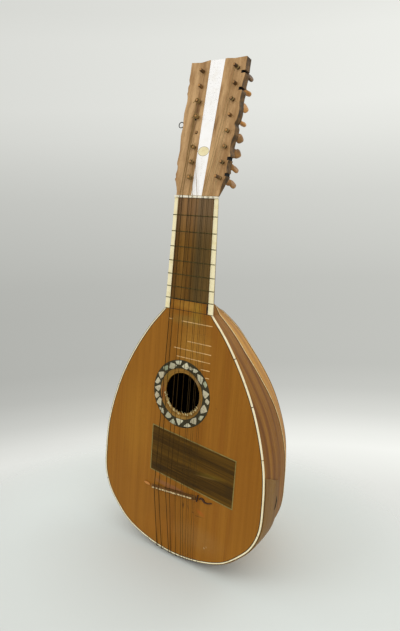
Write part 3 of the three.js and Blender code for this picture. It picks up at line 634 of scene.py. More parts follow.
def grain_nodes(graph: Graph, vector: Socket, fineness: Socket, wander: Socket
                ) -> list[Socket]:
    """Wood grain along Z: noise stretched along the fibres, bent by a slow wander.

    Args:
        graph: The group's graph.
        vector: Coordinates whose Z runs along the grain, in metres.
        fineness: How fine it is.
        wander: How far it sways.

    Returns:
        Its bands, lines, pores and height.
    """
    slow = graph.noise(vector, (7.0, 7.0, 2.6))
    sway = graph.times(graph.math("SUBTRACT", slow, 0.5), wander)
    bent = graph.vector("ADD", vector, graph.combine(sway, sway, 0.0))
    fine = graph.vector("MULTIPLY", bent, graph.combine(fineness, fineness, 1.0))
    lines = graph.noise(fine, (820.0, 820.0, 9.0), 3)
    bands = graph.noise(fine, (75.0, 75.0, 1.7), 4, 0.6)
    pores = graph.span(graph.noise(fine, (1300.0, 1300.0, 75.0), 1), 0.62, 0.72)
    return [bands, lines, pores, graph.math("SUBTRACT", lines, pores)]


def wear_nodes(graph: Graph, vector: Socket, scale: Socket, amount: Socket, softness: Socket
               ) -> list[Socket]:
    """Patches of wear or dirt: rough noise, cut off so that a share of it is left.

    Args:
        graph: The group's graph.
        vector: Coordinates.
        scale: How small the patches are.
        amount: How much there is of them.
        softness: How soft their edges are.

    Returns:
        Their mask and their height.
    """
    level = graph.math("SUBTRACT", 0.75, graph.times(amount, 0.5))
    mask = graph.span(graph.noise(vector, scale, 6, 0.65), level,
                      graph.math("ADD", level, softness))
    return [mask, graph.times(mask, -1.0)]


def spot_nodes(graph: Graph, vector: Socket, centre: Socket, reach: Socket, turn: Socket,
               core: Socket) -> list[Socket]:
    """A soft oval mark: 1 at its middle and 0 at its edge, turned in the front's plane.

    Args:
        graph: The group's graph.
        vector: Coordinates.
        centre: Place of its middle.
        reach: Its half sizes.
        turn: How far it is turned, in radians.
        core: The share of it that is evenly strong.

    Returns:
        Its mask.
    """
    away = graph.vector("SUBTRACT", vector, centre)
    away = graph.first("VectorRotate", {"Vector": away, "Angle": turn}, rotation_type="Y_AXIS")
    return [graph.span(graph.length(graph.vector("DIVIDE", away, reach)), 1.0, core)]


ORIGIN = (0.0, 0.0, 0.0)
GRAIN = Effect("Wood grain", {"Vector": ORIGIN, "Fineness": 1.0, "Wander": 0.02},
               ("Bands", "Lines", "Pores", "Height"), grain_nodes)
WEAR = Effect("Wear", {"Vector": ORIGIN, "Scale": 40.0, "Amount": 0.3, "Softness": 0.15},
              ("Mask", "Height"), wear_nodes)
SPOT = Effect("Soft spot", {"Vector": ORIGIN, "Centre": ORIGIN, "Reach": (1.0, 1.0, 1.0),
                            "Turn": 0.0, "Core": 0.3}, ("Mask",), spot_nodes)


@dataclass(frozen=True)
class Finish:
    """A surface finish.

    Attributes:
        name: Its name.
        roughness: Roughness where nothing changes it.
        relief: Strength of its bumps.
        sheen: How much it reflects, as the shader's specular level.
    """

    name: str
    roughness: float
    relief: float
    sheen: float = field(default=0.25, kw_only=True)

    def material(self) -> bpy.types.Material:
        """The finish's material, built once."""
        material = bpy.data.materials.get(self.name)
        if material:
            return material
        material = bpy.data.materials.new(self.name)
        graph = Graph.empty(material)
        sockets, height, depth = self.paint(graph)
        bump = graph.first("Bump", {"Strength": self.relief, "Distance": depth,
                                    "Height": height})
        shader = graph.first("BsdfPrincipled", {"Specular IOR Level": self.sheen,
                                                "Normal": bump, **sockets})
        graph.node("OutputMaterial", {0: shader})
        return material

    def paint(self, graph: Graph) -> Painted:
        """Makes the nodes of the material; each kind of finish has its own way.

        Args:
            graph: The material's graph.

        Returns:
            Values of the shader's sockets by name, the height of the surface's relief, and
            how deep that is, in metres.
        """
        raise NotImplementedError


@dataclass(frozen=True)
class Wood(Finish):
    """Oiled or varnished wood.

    Attributes:
        light: Colour of the light bands.
        dark: Colour of the dark bands.
        streak: Colour of a few stronger streaks.
        run: What the grain follows.
        fineness: How fine the grain is.
        wander: How much the grain sways, in metres.
        streaks: How strong the streaks are.
        contrast: How strong the bands and the fine lines are.
        tone_shift: How much the piece's tone moves it between light and dark.
        seed: Where in the noise the piece is cut.
    """

    light: str
    dark: str
    streak: str
    run: GrainRun = GrainRun.UP
    fineness: float = 1.0
    wander: float = 0.02
    streaks: float = 0.5
    contrast: tuple[float, float] = (1.0, 0.45)
    tone_shift: float = 0.0
    seed: float = 0.0

    def fibres(self, graph: Graph) -> Socket:
        """Coordinates whose Z runs along the grain.

        Args:
            graph: The material's graph.

        Returns:
            Their socket.
        """
        if self.run is GrainRun.SURFACE:
            u, v, _ = graph.split(graph.surface())
            return graph.combine(v, graph.times(graph.tone(), 3.7, self.seed), u)
        x, y, z = graph.split(graph.place())
        moved = graph.math("ADD", y, self.seed)
        if self.run is GrainRun.ACROSS:
            return graph.combine(graph.times(x, math.tan(math.radians(5.2)), z), moved, x)
        if self.run is GrainRun.PEG:
            return graph.combine(x, z, moved)
        return graph.combine(x, moved, z)

    def paint(self, graph: Graph) -> Painted:
        """Bands between the light and the dark colour, fine lines, pores and streaks.

        Args:
            graph: The material's graph.

        Returns:
            The shader's values, the height and its depth, as in Finish.paint().
        """
        fibres = self.fibres(graph)
        bands, lines, pores, height = GRAIN.place(graph, fibres, self.fineness, self.wander)
        broad, fine = self.contrast
        share = graph.times(graph.math("SUBTRACT", lines, 0.5), fine, graph.span(
            bands, 0.3, 0.7, 0.5 - broad / 2, 0.5 + broad / 2))
        if self.tone_shift:
            shift = graph.math("SUBTRACT", graph.tone(), 0.5)
            share = graph.times(shift, self.tone_shift, share)
        share = graph.math("MINIMUM", graph.math("MAXIMUM", share, 0.0), 1.0)
        colour = graph.mix(share, self.dark, self.light)
        rare = graph.noise(fibres, (38.0, 38.0, 1.1), 4, 0.7)
        streak = graph.times(graph.span(rare, 0.54, 0.68), self.streaks)
        colour = graph.mix(streak, colour, self.streak)
        colour = graph.mix(graph.times(pores, 0.35), colour, self.streak)
        worn = WEAR.place(graph, graph.place(), 55.0, 0.45)[0]
        rough = graph.times(worn, 0.12, graph.times(lines, 0.14, self.roughness - 0.07))
        return {"Base Color": self.marks(graph, colour), "Roughness": rough}, height, 0.0004

    def marks(self, graph: Graph, colour: Socket) -> Socket:
        """Marks on the finished colour; plain wood has none."""
        return colour


@dataclass(frozen=True)
class Mark:
    """An oval mark on the front.

    Attributes:
        x: Place of its middle across.
        z: Place of its middle up.
        width: Its half width.
        height: Its half height.
        colour: Its colour.
        strength: How strong it is.
        turn: How far it is turned, in degrees.
        core: The share of it that is evenly strong.
    """

    x: float
    z: float
    width: float
    height: float
    colour: str
    strength: float
    turn: float = 0.0
    core: float = 0.2


@dataclass(frozen=True)
class MarkedWood(Wood):
    """Wood with marks of wear, dirt and glue, and some painted string shadows.

    Attributes:
        spots: The marks.
    """

    spots: tuple[Mark, ...] = ()

    def marks(self, graph: Graph, colour: Socket) -> Socket:
        """Mixes each mark into the colour, broken up by patches of wear.

        Args:
            graph: The material's graph.
            colour: The colour so far.

        Returns:
            The marked colour.
        """
        vector = graph.place()
        broken = graph.span(graph.noise(vector, 160.0, 4, 0.6), 0.25, 0.6, 0.55, 1.0)
        for mark in self.spots:
            spot = SPOT.place(graph, vector, to_world([mark.x, 0.0, mark.z]).tolist(),
                              (mark.width * MM, 1.0, mark.height * MM),
                              math.radians(mark.turn), mark.core)[0]
            share = graph.times(graph.times(spot, mark.strength), broken)
            colour = graph.mix(share, colour, mark.colour)
        return colour


@dataclass(frozen=True)
class Fingerboard(Wood):
    """The dark wood of the fingerboard: redder left, greyer right, hand-worn at its top.

    Attributes:
        right: Colour that its right half takes on.
        worn: Colour of the wear near the nut.
    """

    right: str = "#574a2c"
    worn: str = "#c8a890"

    def marks(self, graph: Graph, colour: Socket) -> Socket:
        """Greys the right half, and pales the board towards the nut.

        Args:
            graph: The material's graph.
            colour: The colour so far.

        Returns:
            The marked colour.
        """
        x, _, z = graph.split(graph.place())
        middle, blend = to_world([4.0, 0.0, 0.0])[0], 12.0 * MM
        share = graph.times(graph.span(x, middle - blend, middle + blend), 0.62)
        colour = graph.mix(share, colour, self.right)
        low, high = to_world([[0.0, 0.0, -95.0], [0.0, 0.0, -5.0]])[:, 2]
        return graph.mix(graph.times(graph.span(z, low, high), 0.14), colour, self.worn)


@dataclass(frozen=True)
class SidedWood(Wood):
    """Wood with other colours where its tone is below zero: sawn sides, or painted shade.

    Attributes:
        side: Colour of those sides. Black where the tone is about -2: painted shade.
        side_light: Colour of lighter patches on them.
    """

    side: str = "#48371f"
    side_light: str = "#7a5a32"

    def marks(self, graph: Graph, colour: Socket) -> Socket:
        """Mixes the sides' colours in where the tone is below zero.

        Args:
            graph: The material's graph.
            colour: The colour so far.

        Returns:
            The marked colour.
        """
        tone = graph.tone()
        patches = graph.span(graph.noise(graph.place(), 70.0), 0.35, 0.65)
        side = graph.mix(patches, self.side, self.side_light)
        colour = graph.mix(graph.span(tone, -0.1, -0.7), colour, side)
        # Near black where the tone is about -2: painted shade.
        return graph.mix(graph.span(tone, -1.2, -1.8), colour, "#0d0b09")


@dataclass(frozen=True)
class Bone(Finish):
    """Bone, ivory or another pale inlay.

    Attributes:
        light: Its main colour.
        stain: The colour of its stains.
        dirt: How much dirt lies on it.
    """

    light: str
    stain: str
    dirt: float = 0.4

    def paint(self, graph: Graph) -> Painted:
        """Pale colour with soft stains, fine specks of dirt and faint growth lines.

        Args:
            graph: The material's graph.

        Returns:
            The shader's values, the height and its depth, as in Finish.paint().
        """
        vector = graph.place()
        soft = graph.noise(vector, 60.0, 4, 0.6)
        colour = graph.mix(graph.span(soft, 0.42, 0.75, 0.0, 0.7), self.light, self.stain)
        specks, pits = WEAR.place(graph, vector, 420.0, self.dirt, 0.1)
        colour = graph.mix(graph.times(specks, 0.6), colour, "#6b5836")
        lines = graph.noise(vector, (900.0, 900.0, 22.0), 2)
        colour = graph.mix(graph.span(lines, 0.55, 0.8, 0.0, 0.22), colour, self.stain)
        rough = graph.times(soft, 0.2, self.roughness - 0.1)
        height = graph.math("ADD", lines, pits)
        return {"Base Color": colour, "Roughness": rough}, height, 0.0002


@dataclass(frozen=True)
class Pearl(Finish):
    """Mother-of-pearl tiles, each with its own tone."""

    def paint(self, graph: Graph) -> Painted:
        """A pale colour by tone, with layered shimmer and dark cracks.

        Args:
            graph: The material's graph.

        Returns:
            The shader's values, the height and its depth, as in Finish.paint().
        """
        vector = graph.place()
        colour = graph.ramp(graph.tone(), [
            (0.0, "#7f8c70"), (0.25, "#a2aa86"), (0.45, "#b8b898"), (0.65, "#c0b494"),
            (0.85, "#d2cfb0"), (1.0, "#dfd8b4")])
        layers = graph.noise(vector, (260.0, 90.0, 420.0), 4)
        colour = graph.mix(graph.span(layers, 0.4, 0.75, 0.0, 0.55), colour, "#857f68")
        glints = graph.span(graph.noise(vector, 520.0), 0.6, 0.72, 0.0, 0.6)
        colour = graph.mix(glints, colour, "#f2ecda")
        cracks, pits = WEAR.place(graph, vector, 700.0, 0.32, 0.05)
        colour = graph.mix(graph.times(cracks, 0.7), colour, "#3c3a2c")
        rough = graph.span(layers, 0.3, 0.7, 0.22, 0.45)
        height = graph.math("ADD", layers, pits)
        return {"Base Color": colour, "Roughness": rough, "Coat Weight": 0.25}, height, 0.0003


@dataclass(frozen=True)
class Mastic(Finish):
    """Dark filler between inlays, another dull dark surface, or painted shade in a gap.

    Attributes:
        colour: Its colour.
        dust: The colour of the dust on it.
    """

    colour: str
    dust: str

    def paint(self, graph: Graph) -> Painted:
        """A dark colour with dust in patches and a grainy surface.

        Args:
            graph: The material's graph.

        Returns:
            The shader's values, the height and its depth, as in Finish.paint().
        """
        vector = graph.place()
        dusty = WEAR.place(graph, vector, 260.0, 0.5, 0.3)[0]
        colour = graph.mix(graph.times(dusty, 0.6), self.colour, self.dust)
        grains = graph.noise(vector, 1500.0)
        rough = graph.span(grains, 0.3, 0.7, 0.6, 0.85)
        return {"Base Color": colour, "Roughness": rough}, grains, 0.0003


@dataclass(frozen=True)
class Metal(Finish):
    """Tarnished metal.

    Attributes:
        colour: Colour of the clean metal.
        tarnish: Colour of the tarnish.
        on_head: Its colour above the nut, paler there as painted light, or nothing for the
            same.
        wound: Whether fine wire is wound round it.
    """

    colour: str
    tarnish: str
    on_head: str = ""
    wound: bool = False

    def paint(self, graph: Graph) -> Painted:
        """Metal with patches of dull tarnish and, where wound, the ribs of the winding.

        Args:
            graph: The material's graph.

        Returns:
            The shader's values, the height and its depth, as in Finish.paint().
        """
        vector = graph.place()
        patches = WEAR.place(graph, vector, 180.0, 0.6, 0.25)[0]
        colour = graph.mix(patches, self.colour, self.tarnish)
        shine = graph.span(patches, 0.0, 1.0, 0.85, 0.35)
        # Paler and duller above the nut: painted light on the strings over the head.
        if self.on_head:
            z, nut = graph.split(vector)[2], to_world(np.zeros(3))[2]
            colour = graph.mix(graph.span(z, nut, nut + 6 * MM), colour, self.on_head)
            shine = graph.times(shine, 0.4)
        height = graph.noise(vector, 1200.0)
        if self.wound:
            around = graph.times(graph.split(graph.surface())[0], 2 * math.pi / 0.00045)
            height = graph.times(graph.math("SINE", around), 0.5, height)
        rough = graph.span(patches, 0.0, 1.0, self.roughness, 0.7)
        return {"Base Color": colour, "Metallic": shine, "Roughness": rough}, height, 0.0002


class Finishes:
    """Every finish of the instrument."""

    spruce = MarkedWood(
        "Golden brown spruce", 0.5, 0.2, "#a0691d", "#84530f", "#7c4208", sheen=0.15,
        fineness=1.3, wander=0.006, streaks=0.25, contrast=(0.45, 1.0), spots=(
            Mark(-5, -603, 66, 8, "#93644c", 0.5, -5.9, 0.5),
            Mark(-20, -678, 34, 75, "#7a4c18", 0.3),
            # Two narrow dark stripes below the bridge: painted shadows of strings.
            Mark(21.5, -630, 3.4, 10, "#4c2a10", 0.8, 6),
            Mark(34, -630, 2.4, 9, "#4c2a10", 0.6, 14),
            Mark(62, -641, 15, 1.1, "#3d2410", 0.7, 3),
            Mark(47, -637, 2.4, 2.0, "#2b1809", 0.8),
            Mark(66, -632, 14, 7, "#b4561c", 0.45, -20),
            Mark(81, -704, 3.2, 1.6, "#c9b184", 0.8, -60),
            Mark(86, -700, 1.2, 3.0, "#c9b184", 0.7, 10),
            Mark(-48, -583, 7, 7, "#b5691c", 0.6),
            Mark(62, -420, 3, 6, "#6a3a0e", 0.5, 20),
            Mark(84, -404, 2, 3, "#6a3a0e", 0.5),
            Mark(-30, -700, 70, 45, "#a8691c", 0.3),
            Mark(20, -290, 56, 70, "#b98a38", 0.5),
            Mark(165, -520, 60, 190, "#8a540f", 0.4),
            Mark(-120, -480, 60, 150, "#b07c26", 0.3),
            Mark(10, -520, 60, 40, "#7f5318", 0.3),
            Mark(60, -690, 90, 40, "#9a7440", 0.3),
            Mark(0, -240, 60, 16, "#8f7a3a", 0.45),
            Mark(0, -210, 52, 14, "#b88a34", 0.5),
            Mark(22, -222, 20, 34, "#a98a2c", 0.4)))
    # Both ribs' side colours are near black: painted shade of the bowl's dark inside.
    side_rib = SidedWood(
        "Striped side rib", 0.55, 0.25, "#9e6e2a", "#74481c", "#642e12", sheen=0.15,
        run=GrainRun.SURFACE, fineness=0.9, wander=0.006, streaks=0.75, contrast=(1.1, 1.1),
        side="#1c140b", side_light="#261b0f")
    back_rib = SidedWood(
        "Golden back rib", 0.5, 0.25, "#c9923a", "#9c661e", "#a0561c", sheen=0.2,
        run=GrainRun.SURFACE, fineness=0.8, wander=0.008, streaks=0.4, tone_shift=0.5,
        side="#1c140b", side_light="#261b0f")
    clasp = Wood("Grey-brown clasp", 0.52, 0.25, "#926f38", "#75522a", "#6a3f1c", sheen=0.15,
                 run=GrainRun.SURFACE, fineness=0.6, wander=0.01, streaks=0.4)
    seam_bead = Bone("Pale seam bead", 0.5, 0.15, "#f0d090", "#cfa45c")
    slit_edge = Bone("Raw slit edge", 0.6, 0.15, "#a3823c", "#7c5c28")
    # Near black: painted shade, in the clasp's slit and in the head's small hole.
    slit = Mastic("Dark slit", 0.8, 0.1, "#0c0b06", "#1c1a10")
    seam = Mastic("Dark seam", 0.7, 0.2, "#2a1d12", "#4a3420")
    walnut = SidedWood("Mid brown walnut", 0.6, 0.3, "#c9a372", "#9c7548", "#64441f", sheen=0.2,
                       fineness=0.8, wander=0.008, streaks=0.7, contrast=(1.1, 0.9))
    neck_wood = Wood("Dark neck wood", 0.5, 0.25, "#6d4c2a", "#4a3018", "#3d2717",
                     fineness=0.7, wander=0.008)
    fingerboard = Fingerboard("Fingerboard rosewood", 0.5, 0.25, "#936828", "#523810",
                              "#46290e", sheen=0.1, fineness=0.9, wander=0.004,
                              contrast=(1.0, 0.9), seed=0.3)
    plate = MarkedWood(
        "Dark plate", 0.55, 0.25, "#6c4c14", "#35240a", "#281a0a", sheen=0.08,
        run=GrainRun.ACROSS, fineness=1.5, wander=0.004, streaks=0.4, contrast=(0.7, 1.5),
        spots=(
            Mark(82, -547, 46, 8, "#6d5a1a", 0.45, 5),
            Mark(70, -552, 40, 2.2, "#85683a", 0.4, 5),
            Mark(20, -548, 60, 2.0, "#6a4f24", 0.4, 5),
            Mark(-50, -570, 34, 14, "#2f2414", 0.6, 5),
            Mark(20, -582, 90, 8, "#2c2012", 0.5, 5),
            Mark(128, -560, 16, 26, "#35260f", 0.5, 5)))
    border = Bone("Olive plate border", 0.55, 0.2, "#8f7d42", "#6b5a26", 0.5)
    ivory = Bone("White ivory", 0.42, 0.15, "#fdfcfa", "#f6f2ea", 0.03)
    roundel = Bone("Yellowed roundel", 0.45, 0.15, "#efe3b4", "#e0cc92", 0.1)
    binding = Bone("Ivory edging", 0.45, 0.2, "#faefca", "#dcc78e", 0.2)
    strips = Bone("Cream edge strips", 0.45, 0.15, "#f8edc2", "#e4d294", 0.15)
    nut_bone = Bone("Nut bone", 0.45, 0.15, "#f4eeda", "#d8c99c", 0.2)
    slips = Bone("Cream fret slips", 0.5, 0.2, "#e6bf80", "#b98a4a")
    worn_slip = Bone("Worn fret slip", 0.5, 0.2, "#b08440", "#96692a", 0.5)
    saddle = Bone("Worn saddle", 0.5, 0.2, "#ecd6a4", "#b39460", 0.5)
    splinters = Bone("Broken cream edge", 0.55, 0.2, "#cfc08c", "#a08a52")
    pearl = Pearl("Mother-of-pearl", 0.3, 0.2)
    mastic = Mastic("Inlay mastic", 0.7, 0.3, "#36321e", "#625836")
    purfling = Mastic("Dark inner line", 0.65, 0.2, "#3a2810", "#6b4e22")
    rim = MarkedWood(
        "Golden rosette rim", 0.5, 0.25, "#a1762e", "#5e4014", "#6a3208", sheen=0.15,
        run=GrainRun.SURFACE, wander=0.002, streaks=0.6, contrast=(0.9, 1.3), spots=(
            Mark(-50, -402, 9, 30, "#8c4c1c", 0.7),
            Mark(-40, -362, 12, 12, "#7d6a20", 0.5, 45),
            Mark(36, -360, 12, 14, "#94805e", 0.6, -45),
            Mark(0, -444, 34, 8, "#ab8440", 0.55),
            Mark(44, -410, 8, 26, "#8a6a44", 0.5)))
    bridge_wood = Wood("Bridge wood", 0.5, 0.3, "#8f6430", "#5c3e1c", "#2b1b0f", sheen=0.1,
                       run=GrainRun.ACROSS, fineness=0.9)
    fragment = Wood("Orange fragment", 0.5, 0.3, "#c98a44", "#97581f", "#7a3f14",
                    run=GrainRun.ACROSS)
    scroll = Wood("Dark scroll", 0.5, 0.3, "#4a2b14", "#2c180b", "#1b0f07",
                  run=GrainRun.ACROSS)
    # Dark olive: partly tarnish, partly the frets' own shadow painted in as shade.
    fret = Metal("Olive fret", 0.5, 0.2, "#59522e", "#26220f", sheen=0.15)
    # Their third colour is the paler one above the nut: painted light.
    plain_wire = Metal("Plain string", 0.7, 0.1, "#4e3d22", "#30220f", "#a08a5c", sheen=0.05)
    wound_wire = Metal("Wound string", 0.7, 0.6, "#4c381a", "#2e1e0b", "#94794a", True,
                       sheen=0.05)
    pin = Metal("Hitch pin", 0.4, 0.2, "#7d7568", "#463d31")
    eye_wire = Metal("Eye wire", 0.4, 0.2, "#3c3a36", "#1f1d1a")
    inner_wood = Wood("Bare inner wood", 0.85, 0.3, "#5a4526", "#3f3018", "#2c2010", sheen=0.1)
    peg_wood = Wood("Peg wood", 0.45, 0.25, "#cd9550", "#45301a", "#2c1a0c", sheen=0.3,
                    run=GrainRun.PEG, fineness=0.9, tone_shift=1.2, contrast=(0.5, 0.5))


@dataclass
class Bowl:
    """The bowl: its ribs, its edging and the clasp round its tail.

    Attributes:
        width_shares: Share of the body's length below the joint and share of its half width.
        width: Width of the body.
        depth: Depth of the bowl.
        fullness: How much deeper it is at the neck, as a share.
        fade: How fast that share fades below the neck, as a power.
        side_seams: Share of the half outline and angle of the side ribs' seams, in degrees.
        tip_rise: How far the ribs' tips run up over the neck's heel.
        tip_depth: Depth of the bowl at their ends.
        heel_slope: Share by which the bowl is shallower at the joint, to run into the tips.
        back_ribs: Ribs between the side ribs.
        rib_thickness: Thickness of a rib.
        rib_end: Share of the outline where the ribs end, short of the tail.
        binding_width: Width of the edging.
        binding_depth: Depth of the edging.
        breaks: Places of breaks in the edging, as shares of its length from the left.
        clasp_gap: From the ribs to the clasp.
        clasp_thickness: Thickness of the clasp.
        clasp_depth: How far it reaches back.
        clasp_reach: How far up the sides it comes, above the tail.
        clasp_rise: How much higher its ends are at the front.
        clasp_slope: How fast its ends fall towards the back.
        slit_line: Places back and up along the slit in the clasp's right end.
        pins: How many pins there are.
        pin_depth: How far they lie behind the front.
        pin_pitch: Distance between two of them.
        pin_shift: Place of their middle across.
        pin_radius: Radius of a pin.
        pin_length: Length of a pin.
    """

    width_shares: Array = table(
        [0.078, 0.459], [0.19, 0.652], [0.304, 0.803], [0.419, 0.909], [0.533, 0.977],
        [0.65, 0.999], [0.759, 0.987], [0.835, 0.91], [0.892, 0.784], [0.944, 0.62],
        [0.984, 0.34])
    width: float = 410.0
    depth: float = 283.0
    fullness: float = 0.3
    fade: float = 13.0
    side_seams: Array = table(
        [-0.1, 24], [0, 17], [0.08, 15.5], [0.13, 15.5], [0.18, 17.5], [0.23, 19.5],
        [0.27, 21.5], [0.31, 23.5], [0.36, 24.8], [0.5, 24], [1, 24])
    tip_rise: float = 22.5
    tip_depth: float = 26.5
    heel_slope: float = 0.13
    back_ribs: int = 7
    rib_thickness: float = 3.0
    rib_end: float = 28 / 30
    binding_width: float = 3.0
    binding_depth: float = 3.2
    breaks: tuple[float, ...] = (0.16, 0.33, 0.452, 0.484, 0.515, 0.548, 0.68, 0.79, 0.8629,
                                 0.932)
    clasp_gap: float = 0.95
    clasp_thickness: float = 1.6
    clasp_depth: float = 66.0
    clasp_reach: float = 224.0
    clasp_rise: float = 15.9
    clasp_slope: float = 0.435
    slit_line: Array = table([57.9, -566.7], [58.4, -572.0], [58.3, -576.8], [57.2, -581.5],
                             [55.4, -585.8], [52.8, -589.6], [48.6, -592.6])
    pins: int = 8
    pin_depth: float = 15.0
    pin_pitch: float = 12.7
    pin_shift: float = 8.5
    pin_radius: float = 1.7
    pin_length: float = 7.0

    def __post_init__(self) -> None:
        """Works out the outline, and the height of the middle of the clasp's circle."""
        self.edge = self.outline()
        self.run = distances(self.edge)
        self.clasp_middle = TAIL_Z + self.clasp_reach

    def outline(self) -> Array:
        """The body's edge from the left of the joint round the tail to its right.

        Returns:
            Rows of x and z on a curve through the given widths. Each stretch between two
            of them is a cubic whose end slopes weigh the steps by the square roots of their
            lengths, so the curve is smooth and makes no loops.
        """
        down, out = self.width_shares.T
        right = spread(out * self.width / 2, JOINT_Z + down * (TAIL_Z - JOINT_Z))
        right = np.concatenate([[[JOINT_WIDTH / 2, JOINT_Z]], right])
        knots = np.concatenate([right * [-1, 1], [[0, TAIL_Z]], right[::-1]])
        beyond = 2 * knots[[0, -1]] - knots[[1, -2]]
        knots = np.concatenate([beyond[:1], knots, beyond[1:]])
        p0, p1, p2, p3 = (knots[k:len(knots) - 3 + k, None] for k in range(4))
        d0, d1, d2 = (np.linalg.norm(b - a, axis=-1, keepdims=True) ** 0.5
                      for a, b in ((p0, p1), (p1, p2), (p2, p3)))
        t1 = ((p1 - p0) / d0 - (p2 - p0) / (d0 + d1) + (p2 - p1) / d1) * d1
        t2 = ((p2 - p1) / d1 - (p3 - p1) / (d1 + d2) + (p3 - p2) / d2) * d1
        t = np.linspace(0, 1, 40, endpoint=False)[:, None]
        curve = (p1 + t1 * t + (3 * (p2 - p1) - 2 * t1 - t2) * t ** 2
                 + (t1 + t2 - 2 * (p2 - p1)) * t ** 3)
        return np.concatenate([curve.reshape(-1, 2), knots[-2:-1]])

    def at_run(self, run: Array) -> tuple[Array, Array]:
        """Places across and up at distances along the edge."""
        return (np.interp(run, self.run, self.edge[:, 0]),
                np.interp(run, self.run, self.edge[:, 1]))

    def edge_at(self, share: Array) -> tuple[Array, Array]:
        """Places on the right half of the edge: 0 is the joint, 1 the tail.

        Args:
            share: Shares of the half outline; one below 0 lies above the joint, on the heel.

        Returns:
            The places across and up, with the neck's taper above the joint.
        """
        run = self.run[-1] * (1 - np.asarray(share, float) / 2)
        above = np.maximum(run - self.run[-1], 0)
        x, z = self.at_run(run)
        return x + above * (JOINT_WIDTH - NUT_WIDTH) / 2 / JOINT_Z, z + above

    def half_width(self, z: Array) -> Array:
        """Half width of the body at heights."""
        half = self.edge[len(self.edge) // 2:]
        return np.interp(z, half[:, 1], half[:, 0], left=0.0)

    def depth_for(self, half_width: Array, z: Array) -> Array:
        """Depth of the bowl at half widths and heights.

        Args:
            half_width: Half widths of the body there.
            z: Heights.

        Returns:
            The half width times a share that grows towards the neck. Above the joint the
            depth falls to that of the ribs' tips.
        """
        down = np.clip((JOINT_Z - z) / (JOINT_Z - TAIL_Z), 0, 1)
        full = half_width * (1 + self.fullness * (1 - down) ** self.fade) * self.depth / (
            self.width / 2)
        full = full * (1 - self.heel_slope * np.exp(np.minimum(z - JOINT_Z, 0) / 20))
        left = 1 - np.clip((z - JOINT_Z) / self.tip_rise, 0, 1)
        return self.tip_depth + (full - self.tip_depth) * np.where(z > JOINT_Z, left, 1.0)

    def surface(self, share: Array, angle: Array) -> Array:
        """Places on the bowl's outside.

        Args:
            share: Share of the half outline, from the joint.
            angle: Angle round the section, from the right edge over the back.

        Returns:
            The oval there, as oval() gives it, at the outline's height.
        """
        half, z = self.edge_at(share)
        return spread(*oval(angle, half, self.depth_for(half, z)), z)

    def front_angle(self, share: Array) -> Array:
        """Angle at which the bowl leaves the plane behind the edging."""
        front = (self.binding_depth + CLEARANCE) / self.depth_for(*self.edge_at(share))
        return np.arcsin(np.minimum(front ** (SECTION_POWER / 2), 1))

    def seam(self, number: int, share: Array) -> Array:
        """Angle of a seam: the edges for the first and the last, even steps between."""
        side = np.radians(np.interp(share, *self.side_seams.T))
        if number in (0, self.back_ribs + 2):
            return np.full_like(side, np.pi * (number > 0))
        return side + (np.pi - 2 * side) * (number - 1) / self.back_ribs

    def rib_shares(self) -> Array:
        """Shares of the half outline for the rows of a rib, from its tip."""
        tip = 2 * self.tip_rise / self.run[-1]
        return np.concatenate([np.linspace(-tip, 0, 12, endpoint=False),
                               np.linspace(0, self.rib_end, 96)])

    def seam_line(self, number: int, wide: float, gap: float, sunk: float = 0.6) -> Shape:
        """A thin wall that lies along a seam.

        Args:
            number: Which seam.
            wide: Its width.
            gap: Its height above the bowl.
            sunk: Its depth in the bowl.

        Returns:
            A wall whose points lie at (1 + gap / r) times their distance r from the axis.
        """
        share = self.rib_shares()[1:, None]
        middle, small = self.seam(number, share), 0.01
        reach = self.surface(share, middle + small) - self.surface(share, middle - small)
        across = np.linspace(-1, 1, 5) * wide / 2
        turn = across * 2 * small / np.linalg.norm(reach, axis=-1)
        flat = self.surface(share, middle + turn)
        away = flat * [1, 1, 0] / np.linalg.norm(flat[..., :2], axis=-1, keepdims=True)
        along = spread(distances(flat[:, 2])[:, None], across) * MM
        return shell(flat + gap * away, flat - sunk * away, along)

    def slit(self, wide: float, flat: float) -> Shape:
        """A lens on the clasp's face, where its back edge has lifted.

        Args:
            wide: Half width at its middle.
            flat: Share of that by which it stands out.

        Returns:
            A closed tube, pressed flat on the clasp.
        """
        share = np.linspace(-1, 1, 33)
        knots = np.linspace(-1, 1, len(self.slit_line))
        y, z = (np.interp(share, knots, line) for line in self.slit_line.T)
        out = self.width / 2
        for _ in range(4):
            turn = np.arcsin((z - self.clasp_middle) / out)
            out = self.reach(turn, y) + self.clasp_gap + self.clasp_thickness
        face = out * np.cos(turn)

        def press(points: Array) -> Array:
            """Places with their distance from the clasp's face cut down."""
            at = np.interp(-points[:, 2], -z, face)
            return spread(at + (points[:, 0] - at) * flat, points[:, 1], points[:, 2])

        return tube(spread(face, y, z), 0.15 + wide * (1 - share ** 2) ** 0.6, 12).moved(press)

